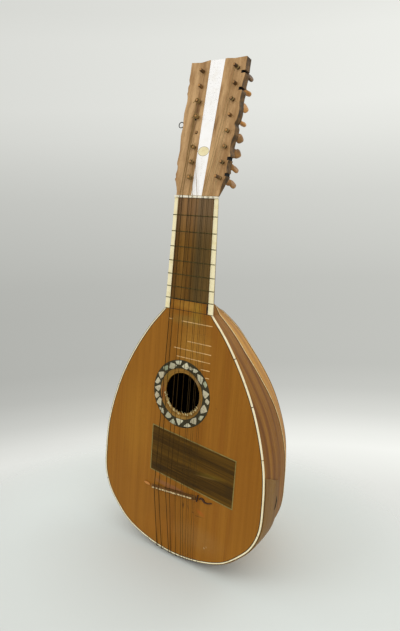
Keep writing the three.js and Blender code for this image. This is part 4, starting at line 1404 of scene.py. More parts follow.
    def rib(self, index: int) -> Shape:
        """One rib, from the right one over the back to the left one.

        Args:
            index: Which rib, from 0.

        Returns:
            A wall on the bowl between two seams. It is flatter across than the bowl, as a
            bent strip is, and rounded over 1 mm beside each seam. Its tone is below zero on
            the inside.
        """
        share = self.rib_shares()[:, None]
        edge = np.array([0, 0.004, 0.01, 0.02, 0.04, 0.08])
        v = np.concatenate([edge, np.linspace(0.15, 0.85, 9), 1 - edge[::-1]])
        low = self.front_angle(share)
        start = np.maximum(self.seam(index, share), low)
        end = np.minimum(self.seam(index + 1, share), np.pi - low)
        curved = self.surface(share, start + (end - start) * v)
        chord = curved[:, -1:] - curved[:, :1]
        flatness = 0.2 if index in (0, self.back_ribs + 1) else 0.5
        outer = curved + (curved[:, :1] + chord * v[:, None] - curved) * flatness
        normal = unit(np.cross(np.gradient(outer, axis=0), np.gradient(outer, axis=1)))
        normal *= -np.sign(np.sum(normal * outer * [1, 1, 0], -1, keepdims=True))
        width = np.linalg.norm(chord, axis=-1)
        from_seam = np.minimum(v, 1 - v) * width
        outer = outer + normal * (0.45 * np.exp(-(from_seam / 0.8) ** 2))[..., None]
        inner = outer + normal * (self.rib_thickness * 0.9)
        inner[..., 1] = np.maximum(inner[..., 1], self.binding_depth + CLEARANCE)
        along = spread(distances(outer[:, len(v) // 2])[:, None], (v - 0.5) * width) * MM
        shape = shell(outer, inner, along)
        outside = (index * 0.37 + 0.21) % 1
        shape.tone = np.tile(np.repeat([outside, -1.0], len(v)), len(share))
        return shape

    def reach(self, turn: Array, depth: Array | float) -> Array:
        """Distance from the middle of the clasp's circle to the bowl.

        Args:
            turn: Directions in the front's plane.
            depth: Depths behind the front.

        Returns:
            The distances, found by halving the range that holds the bowl's surface.
        """
        near = np.zeros(np.broadcast(turn, depth).shape)
        far = np.full_like(near, self.width)
        for _ in range(40):
            middle = (near + far) / 2
            z = self.clasp_middle + middle * np.sin(turn)
            half = np.maximum(self.half_width(z), 1e-6)
            inside = (np.abs(middle * np.cos(turn) / half) ** SECTION_POWER
                      + (depth / self.depth_for(half, z)) ** SECTION_POWER) < 1
            near, far = np.where(inside, middle, near), np.where(inside, far, middle)
        return near

    def clasp(self) -> Shape:
        """The band round the tail, which keeps one distance from the bowl.

        Returns:
            A wall whose depth runs from behind the edging to its back edge.
        """
        depth = np.linspace(self.binding_depth + CLEARANCE, self.clasp_depth, 12)
        end = np.arctan((self.clasp_rise - self.clasp_slope * depth) / (self.width / 2))
        turn = -np.pi / 2 + np.linspace(-1, 1, 150)[:, None] * (np.pi / 2 + end)
        reach = self.reach(turn, depth) + self.clasp_gap
        inner, outer = (
            spread(out * np.cos(turn), depth, self.clasp_middle + out * np.sin(turn))
            for out in (reach, reach + self.clasp_thickness))
        return shell(outer, inner, spread(distances(outer[:, 0])[:, None], depth) * MM)

    def pin_places(self) -> Array:
        """Place across of each pin, and height of the clasp's inside there."""
        x = self.pin_shift + (np.arange(self.pins) - (self.pins - 1) / 2) * self.pin_pitch
        turn = np.arctan2(-self.clasp_reach, x)
        reach = self.reach(turn, self.pin_depth) + self.clasp_gap
        return spread(x, self.clasp_middle + reach * np.sin(turn))

    def pins_shape(self) -> Shape:
        """Pins that stand down out of the clasp, with round heads, carried round Z."""
        r, tall = self.pin_radius, self.pin_length
        profile = np.array([
            [0.1, 0.0], [r, 0.0], [r, tall - 2.2 * r], [1.15 * r, tall - 2 * r],
            [1.45 * r, tall - 1.3 * r], [1.45 * r, tall - 0.7 * r], [r, tall - 0.15 * r],
            [0.1, tall]])
        foot = -self.clasp_thickness / 2
        upright = lathe(profile, 16).moved(
            lambda p: spread(p[:, 0], p[:, 2] + self.pin_depth, foot - p[:, 1]))
        return joined([upright.moved(lambda p, x=x, z=z: p + [x, 0, z])
                       for x, z in self.pin_places()])

    def inset(self, share: Array, distance: Array) -> Array:
        """Places inside the edge.

        Args:
            share: Share of the whole edge from the left of the joint.
            distance: Distance inwards.

        Returns:
            x and z, moved at right angles to the edge, or level at its two ends.
        """
        run, small = share * self.run[-1], 1.5
        x, z = self.at_run(run)
        ahead = unit(spread(*self.at_run(run + small)) - spread(*self.at_run(run - small)))
        level = np.clip(1 - np.minimum(share, 1 - share) * 150, 0, 1)[..., None]
        inwards = spread(-ahead[..., 1], ahead[..., 0])
        inwards = unit(inwards * (1 - level) + spread(-np.sign(x), 0) * level)
        return spread(x, np.minimum(z, JOINT_Z - CLEARANCE)) + inwards * distance[..., None]

    def edging(self, across: tuple[float, float], deep: tuple[float, float], radius: float,
               shares: tuple[float, float], steps: int) -> Shape:
        """A strip along the body's edge: a rounded oblong carried along it.

        Args:
            across: Distances from the edge to its outer and its inner side.
            deep: Its front and its back face.
            radius: Radius of its corners.
            shares: Shares of the edge where it starts and where it ends.
            steps: Rings along it.

        Returns:
            The strip.
        """
        distance, y = rounded(*across, *deep, radius)[0].T
        share, distance = np.broadcast_arrays(np.linspace(*shares, steps)[:, None], distance)
        flat = self.inset(share, distance)
        return swept(spread(flat[..., 0], y, flat[..., 1]))

    def binding(self) -> Shape:
        """The pale edging, in lengths with thin breaks between them."""
        ends = [0.0, *self.breaks, 1.0]
        gap = 0.9 / self.run[-1]
        return joined([
            self.edging((0.0, self.binding_width), (-0.3, self.binding_depth), 0.75,
                        (a + gap * (a > 0), b - gap * (b < 1)), max(int((b - a) * 320), 6))
            for a, b in zip(ends[:-1], ends[1:])])

    def dark_lines(self) -> Shape:
        """The dark lines inside the edging and, down to the lower right, outside it."""
        inner = self.edging((self.binding_width + 0.2, self.binding_width + 1.4), (-0.08, 1.0),
                            0.05, (0.0, 1.0), 320)
        return joined([inner, self.edging((0.02, 0.85), (-0.36, 0.7), 0.2, (0.0, 0.62), 200)])

    def block(self) -> Shape:
        """The block inside the bowl at the joint: level rings 7 mm inside the bowl."""
        z = np.linspace(JOINT_Z - 3.4, JOINT_Z - 37.6, 12)
        wide = self.half_width(z)
        return half_ovals(z, wide - 7.0, self.depth_for(wide, z) - 9.0, 3.6, 33)

    def build(self) -> None:
        """Makes the bowl's pieces."""
        for index in range(self.back_ribs + 2):
            side = index in (0, self.back_ribs + 1)
            place_piece(f"rib_{index + 1}_strip", self.rib(index),
                        Finishes.side_rib if side else Finishes.back_rib,
                        [f"rib_{index + 1}"])
        place_piece("tail_clasp_band", self.clasp(), Finishes.clasp,
                    ["tail_clasp"], bevel=0.4)
        seams = range(1, self.back_ribs + 2)
        place_piece("seam_lines", joined([self.seam_line(n, 3.4, 0.75) for n in seams]),
                    Finishes.seam_bead)
        place_piece("seam_shades", joined([self.seam_line(n, 5.4, 0.5) for n in seams]),
                    Finishes.seam)
        place_piece("clasp_slit_edge", self.slit(3.4, 0.08), Finishes.slit_edge)
        # A near black lens on the clasp: painted shade in the gap under its lifted edge.
        place_piece("clasp_slit", self.slit(2.3, 0.3), Finishes.slit)
        place_piece("hitch_pins", self.pins_shape(), Finishes.pin)
        place_piece("edge_binding", self.binding(), Finishes.binding, ["binding"])
        place_piece("edge_dark_lines", self.dark_lines(), Finishes.purfling)
        place_piece("neck_block_wood", self.block(), Finishes.inner_wood,
                    ["neck_block"])
        dress(["tail_block", "brace_upper", "brace_lower"], Finishes.inner_wood)


@dataclass
class Rosette:
    """The sound hole's rosette.

    Attributes:
        height: Height of the hole's middle.
        hole: Radius of the hole.
        rim: Width of the golden ring, where it is as wide as it is narrow.
        ring: Width of the tiled ring.
        shift: How far the tiled ring's middle lies from the hole's, across and up.
        tiles: Tone of each tile, then turn from the top in degrees and radius of its corners.
        splinters: How many splinters the broken edge has.
        seed: Starts the random numbers of the broken edge.
    """

    height: float = -392.0
    hole: float = 42.7
    rim: float = 10.4
    ring: float = 17.6
    shift: tuple[float, float] = (-3.4, -2.2)
    tiles: Array = table(
        [0.95, 7.8, 68.4, 14.2, 60.5, 9.5, 54.8, 357.7, 57.7],
        [0.6, 15.6, 64.1, 23.4, 63.6, 21.8, 58.6, 15.4, 58.4],
        [0.85, 24.4, 65.4, 34.0, 68.3, 32.4, 61.0, 26.6, 58.6],
        [0.8, 36.5, 62.5, 48.3, 68.3, 56.8, 57.6, 46.1, 55.2],
        [0.3, 56.9, 61.9, 55.0, 69.4, 62.3, 70.0, 65.6, 64.0],
        [0.75, 68.6, 57.5, 76.9, 69.8, 85.4, 60.0, 79.1, 55.0],
        [0.7, 85.0, 63.8, 89.6, 70.0, 95.4, 67.5, 91.7, 59.8],
        [0.7, 98.0, 59.1, 106.9, 69.6, 117.8, 59.6, 110.8, 54.5],
        [0.45, 124.0, 60.5, 118.6, 67.4, 128.4, 68.3, 131.0, 63.1],
        [0.6, 134.1, 57.8, 142.1, 68.3, 152.8, 59.9, 144.6, 54.8],
        [0.8, 158.8, 60.8, 154.0, 68.1, 161.0, 69.0, 169.6, 67.2],
        [0.9, 188.4, 55.0, 169.0, 55.4, 176.0, 62.2, 180.9, 67.4],
        [0.45, 194.9, 59.1, 187.0, 68.9, 194.0, 70.0, 200.6, 70.2],
        [0.5, 213.4, 54.6, 200.0, 57.3, 206.2, 66.2, 213.0, 67.4],
        [0.55, 232.2, 68.5, 225.9, 60.5, 218.0, 66.4, 223.5, 69.8],
        [0.75, 249.6, 58.1, 242.4, 53.9, 232.8, 61.6, 241.9, 70.0],
        [0.65, 262.0, 64.1, 253.8, 58.0, 249.0, 67.6, 255.3, 70.2],
        [0.7, 277.4, 55.3, 270.8, 53.7, 262.6, 59.3, 269.2, 69.0],
        [0.75, 289.8, 65.4, 285.2, 57.4, 277.8, 62.3, 278.4, 69.6],
        [0.7, 309.2, 58.8, 302.1, 54.4, 290.8, 59.0, 298.1, 69.8],
        [0.2, 323.8, 65.0, 321.0, 57.6, 311.6, 60.9, 313.0, 68.7],
        [0.55, 345.0, 59.6, 333.6, 54.0, 325.0, 58.7, 332.7, 67.8],
        [0.85, 356.8, 69.4, 353.5, 61.0, 345.7, 62.4, 342.6, 68.9])
    splinters: int = 64
    seed: int = 7

    def polar(self, radius: Array, turn: Array, y: Array) -> Array:
        """Places at distances from the hole's middle and turns from the top."""
        return spread(radius * np.sin(turn), y, self.height + radius * np.cos(turn))

    def rim_shape(self) -> Shape:
        """The golden ring: its outside lies on a shifted circle, its lower inside is ragged.

        Returns:
            A loop whose outer radius is o + sqrt(R^2 - s^2 + o^2), with s the shift and o the
            part of it that lies in each direction.
        """
        turn = np.linspace(0, 2 * np.pi, 480, endpoint=False)
        rng = np.random.default_rng(self.seed)
        low = np.clip(-np.cos(turn - 0.25) + 0.15, 0, 1)
        inner = self.hole - 0.2 - np.abs(rng.normal(0, 1, turn.size)) * low * 0.9
        aside, up = self.shift
        part = aside * np.sin(turn) + up * np.cos(turn)
        outer = part + np.sqrt((self.hole + self.rim) ** 2 - aside ** 2 - up ** 2 + part ** 2)
        radius, y = np.moveaxis(rounded(inner, outer, -0.28, 1.1, 0.5), -1, 0)
        turn = turn[:, None]
        return swept(self.polar(radius, turn, y), spread(turn * self.hole, radius) * MM,
                     loop=True)

    def bed_shape(self) -> Shape:
        """The ring of mastic under the tiles, round the shifted middle."""
        turn = np.linspace(0, 2 * np.pi, 240, endpoint=False)[:, None]
        inside = self.hole + self.rim
        radius, y = rounded(inside + CLEARANCE, inside + self.ring, -0.12, 1.1, 0.4)[0].T
        aside, up = self.shift
        return swept(self.polar(radius, turn, y) + [aside, 0, up], loop=True)

    def tile(self, row: Array) -> Shape:
        """One tile with a bevelled face.

        Args:
            row: Its row of the tiles.

        Returns:
            Three rings: the outline in the bed and at the top of its sides, and a smaller one
            as its face. Each side has a point in its middle, pushed out a little.
        """
        turn, radius = np.radians(row[1::2]), row[2::2]
        flat = spread(radius * np.sin(turn), radius * np.cos(turn))
        middle = flat.mean(0)
        sides = middle + ((flat + np.roll(flat, -1, 0)) / 2 - middle) * 1.12
        ring = np.stack([flat, sides], 1).reshape(-1, 2)
        sizes, y = np.array([[1.04, 1.04, 0.96], [0.3, -0.2, -0.42]])[..., None]
        x, z = np.moveaxis(middle + (ring - middle) * sizes[..., None], -1, 0)
        return swept(spread(x + self.shift[0], y, z + self.height + self.shift[1]),
                     tone=row[0])

    def splinters_shape(self) -> Shape:
        """Broken slips of pale veneer that point into the hole along its lower edge."""
        rng = np.random.default_rng(self.seed + 2)
        share = np.linspace(0, 1, 5)
        shapes = []
        for turn in np.radians(rng.uniform(118, 262, self.splinters)):
            length, width = rng.uniform(2.5, 6.5), rng.uniform(0.8, 2.0)
            lean = rng.normal(0.04, 0.06)
            radius = self.hole + rng.uniform(0.5, 4.5) - share * length
            half = width / 2 * (1 - share) ** 0.8 + 0.12
            across, y = np.moveaxis(rounded(-half, half, -0.55, 0.1, 0.1), -1, 0)
            angle = turn + lean * share[:, None] + across / self.hole
            shapes.append(swept(self.polar(radius[:, None], angle, y + rng.uniform(0, 0.2))))
        return joined(shapes)

    def build(self) -> None:
        """Makes the rosette's pieces."""
        place_piece("rosette_rim_ring", self.rim_shape(), Finishes.rim,
                    ["rosette_rim"])
        place_piece("rosette_bed", self.bed_shape(), Finishes.mastic,
                    ["rosette_tiles"])
        place_piece("rosette_pearl_tiles", joined([self.tile(row) for row in self.tiles]),
                    Finishes.pearl)
        place_piece("rosette_broken_edge", self.splinters_shape(), Finishes.splinters)


@dataclass
class Front:
    """The soundboard with its plate, its short frets and the marks on it.

    Attributes:
        fret_width: Width of a short fret.
        fret_raise: How far a short fret stands proud.
        slips: Fret number, left end and right end of each short fret.
        worn_slips: Left and right ends of what is left of the tenth fret.
    """

    fret_width: float = 1.5
    fret_raise: float = 0.62
    slips: Array = table([9, -13.4, 60.6], [11, 4.1, 61.1], [12, -28.6, 62.5],
                         [13, -20.5, 62.0], [14, 40.4, 62.0], [15, 53.1, 62.0])
    worn_slips: Array = table([-32.2, -2.0], [14.0, 19.0], [34.0, 60.6])

    def build(self) -> None:
        """Dresses the board and lays the pale slips over it."""
        dress(["soundboard"], Finishes.spruce)
        dress(["dark_plate"], Finishes.plate)
        dress(["plate_border"], Finishes.border)
        bars = [strip((left, fret_place(fret)), (right, fret_place(fret)), -self.fret_raise,
                      0.4, self.fret_width, 0.22) for fret, left, right in self.slips]
        bars.append(strip((-47.5, -242.5), (-36.7, -242.3), -0.3, 0.3, 1.3, 0.15))
        place_piece("short_frets", joined(bars), Finishes.slips)
        z = fret_place(10)
        worn = [strip((left, z), (right, z), -0.12, 0.3, 0.9, 0.08)
                for left, right in self.worn_slips]
        place_piece("worn_short_fret", joined(worn), Finishes.worn_slip)


@dataclass
class Neck:
    """The neck with its fingerboard, frets, edge strips and nut.

    Attributes:
        depth_at_nut: Depth at the nut.
        depth_at_heel: Depth above the heel.
        board_thickness: Thickness of the fingerboard.
        strip_at_nut: Width of an edge strip at the nut.
        strip_at_joint: Width of an edge strip at the joint.
        fret_width: Width of a fret.
        fret_raise: Height of a fret.
    """

    depth_at_nut: float = 19.0
    depth_at_heel: float = 26.0
    board_thickness: float = 2.6
    strip_at_nut: float = 8.2
    strip_at_joint: float = 11.0
    fret_width: float = 1.6
    fret_raise: float = 0.95

    def half(self, z: Array) -> Array:
        """Half width of the neck at heights."""
        return tapered(z, NUT_WIDTH / 2, JOINT_WIDTH / 2)

    def board_half(self, z: Array) -> Array:
        """Half width of the fingerboard between its strips."""
        return self.half(z) - tapered(z, self.strip_at_nut, self.strip_at_joint)

    def neck_shape(self, bowl: Bowl) -> Shape:
        """The neck's wood: a squarish half ellipse whose heel runs in under the ribs' tips.

        Args:
            bowl: The bowl that the heel runs into.

        Returns:
            Level rings with a flat front. Below the tips' ends they step inwards and then
            grow inside them.
        """
        tips = JOINT_Z + bowl.tip_rise
        z = np.concatenate([np.linspace(4.5, tips, 40), np.linspace(tips - 0.4, JOINT_Z, 12)])
        half, under = self.half(z), z < tips
        wall = (bowl.rib_thickness + CLEARANCE) * under
        deep = np.where(under, bowl.depth_for(half, z) - wall,
                        tapered(z, self.depth_at_nut, self.depth_at_heel))
        return half_ovals(z, half - wall, deep, self.board_thickness + CLEARANCE, 28)

    def board_shape(self) -> Shape:
        """The fingerboard between its strips, down to the seventh fret."""
        z = np.linspace(0, fret_place(7), 24)
        half = self.board_half(z) - CLEARANCE
        return swept(level_rings(rounded(-half, half, 0.0, self.board_thickness, 0.2), z))

    def strip_shape(self, side: Side) -> Shape:
        """The bone blocks along one edge, one for each space between two frets.

        Args:
            side: Which edge.

        Returns:
            Blocks that follow the neck's taper.
        """
        gap = self.fret_width / 2 - 0.35
        blocks = []
        for fret in range(8):
            z = np.linspace(fret_place(fret) - gap * (fret > 0), fret_place(fret + 1) + gap, 5)
            ends = [side.value * self.board_half(z), side.value * self.half(z)]
            blocks.append(swept(level_rings(rounded(
                np.minimum(*ends), np.maximum(*ends), -0.1, self.board_thickness, 0.35), z)))
        return joined(blocks)

    def frets_shape(self) -> Shape:
        """Frets with round crowns across the board and its strips."""
        crown, even = np.linspace(0, np.pi, 10), np.linspace(-1, 1, 10)
        up = self.fret_width / 2 * np.concatenate([np.cos(crown), even])
        y = np.concatenate([-self.fret_raise * np.sin(crown) ** 0.8, 0 * even + 0.8])
        bars = []
        for fret in range(1, 9):
            z = fret_place(fret)
            inside, half = self.board_half(z), self.half(z)
            ends = [(-half, half)] if fret < 8 else [(-half, -inside), (inside, half)]
            bars += [swept(spread(np.linspace(*pair, 30)[:, None], y,
                                  np.maximum(z + up, JOINT_Z))) for pair in ends]
        return joined(bars)

    def slivers_shape(self) -> Shape:
        """Painted shadow beside the soundboard's tongue, and dark lines at both its ends."""
        top, bottom = fret_place(7) - 1.5, JOINT_Z + 1.0
        # The dark strips along the edge strips are painted shadow.
        bars = [strip((side * (self.board_half(top) - width / 2), top),
                      (side * (self.board_half(bottom) - width / 2), bottom),
                      -0.1, 0.6, width, 0.05, taper=0.75)
                for side, width in ((-1, 3.2), (1, 4.4))]
        for z, width in ((top + 0.2, 1.6), (JOINT_Z + 0.4, 1.1)):
            half = self.board_half(z)
            bars.append(strip((-half, z), (half, z), -0.14, 0.6, width, 0.05))
        return joined(bars)

    def build(self, bowl: Bowl) -> None:
        """Makes the neck's pieces.

        Args:
            bowl: The bowl that the heel runs into.
        """
        place_piece("neck_wood", self.neck_shape(bowl), Finishes.neck_wood,
                    ["neck"])
        place_piece("fingerboard_plate", self.board_shape(), Finishes.fingerboard,
                    ["fingerboard"])
        for side in Side:
            word = side.name.lower()
            place_piece(f"edge_blocks_{word}", self.strip_shape(side), Finishes.strips,
                        [f"edge_strip_{word}"])
        place_piece("neck_frets", self.frets_shape(), Finishes.fret)
        place_piece("tongue_shadows_and_end_lines", self.slivers_shape(), Finishes.seam)
        dress(["nut"], Finishes.nut_bone)


@dataclass
class Bridge:
    """The bridge with its saddle and what is left of its carved ends.

    Attributes:
        x: Place of its middle across.
        z: Place of its middle up.
        length: Its length.
        turn: How far it is turned.
        base: Width of its foot.
        height: Its height.
        saddle_height: Height of the saddle above it.
        saddle_width: Width of the saddle.
        saddle: Start and end of each length of the saddle, and how far it is worn down.
    """

    x: float = -6.0
    z: float = -609.0
    length: float = 116.0
    turn: float = math.radians(5.9)
    base: float = 9.0
    height: float = 6.4
    saddle_height: float = 2.0
    saddle_width: float = 2.3
    saddle: Array = table(
        [-51.5, -45.0, 0.0], [-42.0, -37.5, 0.6], [-34.5, -27.0, 0.1], [-24.5, -20.5, 0.6],
        [-17.8, -9.5, 0.0], [-7.0, 1.5, 0.3], [3.2, 13.5, 0.0], [16.2, 21.0, 0.5],
        [23.2, 36.0, 0.1], [38.9, 51.5, 0.2])

    def placed(self, points: Array) -> Array:
        """Places along, back from and above the bridge's middle, in the maker's frame."""
        return turned(points, self.turn, 0, 2) + [self.x, 0, self.z]

    def base_shape(self) -> Shape:
        """The dark base: sloping ends, two low arches under it and slanted sides."""
        half = self.length / 2
        x = np.linspace(-half, half, 80)[:, None]
        top = -self.height * np.clip((half - np.abs(x)) / 5.0, 0.22, 1) ** 0.7
        arch = np.clip(1 - ((np.abs(x) - 0.4 * half) / (0.2 * half)) ** 2, 0, 1)
        bottom = -CLEARANCE - 1.7 * arch
        wide = self.base * np.array([0.5, 0.48, 0.3125, 0.21875])
        share = np.array([0, 0.25, 0.9, 1.0, 1.0, 0.9, 0.25, 0])
        y = np.concatenate([bottom + (top - bottom) * share, bottom + 0 * share], 1)
        return swept(self.placed(spread(x, y, np.concatenate(
            [-wide, wide[::-1], wide, -wide[::-1]]))))

    def saddle_shape(self) -> Shape:
        """The pale saddle in broken lengths, worn into low notches under the strings."""
        lengths = []
        for start, end, low in self.saddle:
            x = np.linspace(start, end, 24)
            notch = 0.45 * np.cos(2 * np.pi * (x - 1.0) / 7.2) + 0.25 * np.sin(x / 9.0)
            front = low - self.height - 2 * CLEARANCE - self.saddle_height + 0.35 + notch / 2
            half = self.saddle_width / 2 - low * 0.3 + 0.15 * np.sin(x * 1.3)
            across, y = np.moveaxis(rounded(-half, half, front, 0.4 - self.height, 0.3), -1, 0)
            lengths.append(swept(self.placed(spread(x[:, None], y, across))))
        return joined(lengths)

    def scroll_shape(self) -> Shape:
        """The broken scroll at the right end: an upright stub and a curl."""
        share = np.linspace(0, 1, 40)
        wave = 3.6 * np.sin(share * 7.5) * (1 - 0.6 * share)
        dip = 1.5 * np.exp(-((share - 0.4) / 0.12) ** 2)
        width = 1.5 + np.exp(-((share - 0.3) / 0.2) ** 2)
        curl = tube(spread(61 + 31 * share, -1.1, wave - dip - 602.5),
                    width * (1 - 0.35 * share ** 3))
        stub = strip((55.2, -609.5), (57.4, -594.5), -3.2, -0.05, 3.0, 0.6, taper=0.3)
        return joined([curl, stub])

    def build(self) -> None:
        """Makes the bridge's pieces; the last is the tip of the scroll at the left end."""
        place_piece("bridge_base", self.base_shape(), Finishes.bridge_wood,
                    ["bridge"], bevel=0.3)
        place_piece("bridge_saddle_strip", self.saddle_shape(), Finishes.saddle,
                    ["bridge_saddle"])
        place_piece("bridge_scroll", self.scroll_shape(), Finishes.scroll,
                    ["bridge_end"])
        tip = strip((-85, -612.5), (-68.5, -614.5), -2.4, -0.05, 6.2, 1.0, 20, 0.75)
        place_piece("bridge_left_tip", tip, Finishes.fragment)


@dataclass
class Head:
    """The flat tilted head with its stripe and its hanging eye.

    Attributes:
        length: Length from the nut line.
        width: Full width.
        left_edge: Height share and half width share of the hand-cut left edge.
        right_edge: The same for the right edge.
        saw_cuts: Height and width of each saw cut in the right edge, as shares of the length.
        cut_floor: Half width at the floor of the saw cuts.
        cut_width: How much wider the cuts have worn.
        crest: Place across and height of the crest, as shares.
        bevel: Width of the bevel along the edges.
        foot: Lowest height of the board.
        foot_top: Height up to which the foot is carved.
        foot_half_width: Half width of the round foot at the nut line.
        foot_depth: Its depth there.
        foot_spread: How much both grow with the height.
        eye: Place of the eye's middle across and up.
        eye_radius: Radius of its ring.
        roundel: Height, half width and half height of the roundel's outline.
    """

    length: float = 267.0
    width: float = 126.0
    left_edge: Array = table(
        [0, 0.775], [0.045, 0.785], [0.08, 0.83], [0.115, 0.885], [0.138, 0.945],
        [0.147, 0.905], [0.172, 0.935], [0.205, 0.9], [0.232, 0.91], [0.252, 0.955],
        [0.31, 0.935], [0.35, 0.92], [0.46, 0.976], [0.535, 0.945], [0.58, 0.975],
        [0.63, 0.985], [0.68, 0.96], [0.715, 0.94], [0.75, 0.953], [0.772, 0.99],
        [0.79, 0.972], [0.82, 0.993], [0.846, 0.955], [0.877, 0.995], [0.93, 0.986], [1, 1])
    right_edge: Array = table(
        [0, 0.8], [0.05, 0.835], [0.094, 0.855], [0.13, 0.89], [0.146, 0.94], [0.19, 0.955],
        [0.22, 0.925], [0.26, 0.935], [0.305, 1], [0.33, 0.965], [0.37, 0.935],
        [0.415, 0.955], [0.455, 1.005], [0.502, 1.005], [0.531, 0.95], [0.56, 1.01],
        [0.6, 1.04], [0.64, 1.035], [0.68, 1.005], [0.72, 1.01], [0.75, 1.03], [0.79, 1],
        [0.84, 1.02], [0.87, 1.045], [0.93, 1.025], [1, 1.02])
    saw_cuts: Array = table([0.1734, 0.0165], [0.2865, 0.018], [0.777, 0.0165], [0.895, 0.015])
    cut_floor: float = 58.0
    cut_width: float = 1.35
    crest: Array = table(
        [-1, 0.999], [-0.6, 0.991], [-0.29, 1.003], [-0.27, 0.999], [0, 0.991],
        [0.27, 0.999], [0.29, 1.003], [0.6, 0.995], [1.02, 0.999])
    bevel: float = 0.9
    foot: float = 4.97
    foot_top: float = 48.0
    foot_half_width: float = 49.0
    foot_depth: float = 18.0
    foot_spread: float = 0.4
    eye: tuple[float, float] = (-70.5, 147.0)
    eye_radius: float = 5.6
    roundel: tuple[float, float, float] = (90.5, 12.5, 9.0)

    def half(self, height: Array, side: Side) -> Array:
        """Half width at heights: the edge's corners, rounded over 2 mm."""
        edge = self.left_edge if side is Side.LEFT else self.right_edge
        even = np.linspace(0, 1, int(2 * self.length))
        kernel = np.hanning(9)
        padded = np.pad(np.interp(even, *edge.T), 4, mode="edge")
        smooth = np.convolve(padded, kernel / kernel.sum(), "valid")
        return np.interp(height / self.length, even, smooth) * self.width / 2

    def depth_at(self, x: Array, height: Array) -> Array:
        """Depth of the board: its thickness, or less where the foot is carved round."""
        grown = np.maximum(height, 0.0) * self.foot_spread
        ratio = np.clip(np.abs(x) / (self.foot_half_width + grown), 0, 1)
        carved = (self.foot_depth + grown) * (1 - ratio ** SECTION_POWER) ** (1 / SECTION_POWER)
        return np.where(height < self.foot_top, np.clip(carved, 1.0, HEAD_THICKNESS),
                        HEAD_THICKNESS)

    def board_shape(self) -> Shape:
        """The board: rings from edge to edge, with square saw cuts and a carved foot.

        Returns:
            The surface. Its tone is below zero on the sides and on the carved foot.
        """
        cuts = self.saw_cuts * self.length * [1.0, self.cut_width]
        near = [middle + end * width / 2 + step for middle, width in cuts
                for end in (-1, 1) for step in (-0.03, 0.03)]
        z = np.unique(np.concatenate([np.linspace(self.foot, self.length, 300), near]))
        cut = (np.abs(z[:, None] - cuts[:, 0]) < cuts[:, 1] / 2).any(1)
        left = self.half(z, Side.LEFT)[:, None]
        right = np.where(cut, self.cut_floor, self.half(z, Side.RIGHT))[:, None]
        across = (np.sin(np.linspace(-np.pi / 2, np.pi / 2, 41)) + 1) / 2
        inner = self.bevel - left + (left + right - 2 * self.bevel) * across
        x = np.concatenate([-left, inner, right], 1)
        deep = self.depth_at(x, z[:, None])
        side = np.zeros(x.shape[1])
        side[[0, -1]] = 1
        rounding = np.minimum(self.bevel, 0.4 * deep) * side
        ring_x = np.concatenate([x, x[:, ::-1]], 1)
        ring_y = np.concatenate([rounding, (deep - rounding)[:, ::-1]], 1)
        foot = self.foot + np.tan(HEAD_TILT) * ring_y
        top = self.length * np.interp(ring_x / (self.width / 2), *self.crest.T)
        share = ((z - self.foot) / (self.length - self.foot))[:, None]
        shape = swept(from_head(spread(ring_x, ring_y, foot + (top - foot) * share)))
        plain = np.where(side > 0, -1.0, 0.5) + 0 * deep
        # Tone -2 paints the saw cuts' floors black: painted shade in the cuts.
        plain[cut, -3:] = -2.0
        carved = np.where(deep < HEAD_THICKNESS - 0.2, -1.0, plain)
        shape.tone = np.concatenate([plain, carved[:, ::-1]], 1).ravel()
        return shape

    def small_hole(self) -> Shape:
        """The dark mouth of a small hole beside the left pegs: a dark plug, painted shade."""
        plug = lathe(np.array([[0.05, -0.06], [2.0, -0.06], [2.0, 0.8], [0.05, 0.8]]), 16)
        return plug.moved(lambda p: from_head(p + [-31.0, 0.0, 153.0]))

    def eye_shape(self) -> Shape:
        """The bent wire: a straight shank into the head's edge and an open ring."""
        (x, z), y, size = self.eye, HEAD_THICKNESS / 2, self.eye_radius
        turn = np.linspace(0.16, 2 * np.pi - math.radians(40), 60)
        ring = spread(x + size * np.cos(turn), y, z + size * np.sin(turn))
        shank = np.linspace([-51.0, y, z], [-63.6, y, z], 12)
        return tube(from_head(np.concatenate([shank, ring])), 0.9, 14)

    def outline_shape(self) -> Shape:
        """The thin grey outline of the roundel."""
        turn = np.linspace(0, 2 * np.pi, 96, endpoint=False)[:, None]
        across, y = rounded(-0.35, 0.35, -0.1, 0.5, 0.1)[0].T
        height, wide, tall = self.roundel
        return swept(from_head(spread((wide + across) * np.cos(turn), y,
                                      height + (tall + across) * np.sin(turn))), loop=True)

    def build(self) -> None:
        """Makes the head's pieces."""
        place_piece("head_board", self.board_shape(), Finishes.walnut, ["head"])
        place_piece("head_small_hole", self.small_hole(), Finishes.slit)
        dress(["head_stripe_upper", "head_stripe_lower"], Finishes.ivory)
        dress(["head_roundel"], Finishes.roundel)
        place_piece("roundel_outline", self.outline_shape(), Finishes.pin)
        place_piece("eye_of_wire", self.eye_shape(), Finishes.eye_wire,
                    ["hanging_eye"])


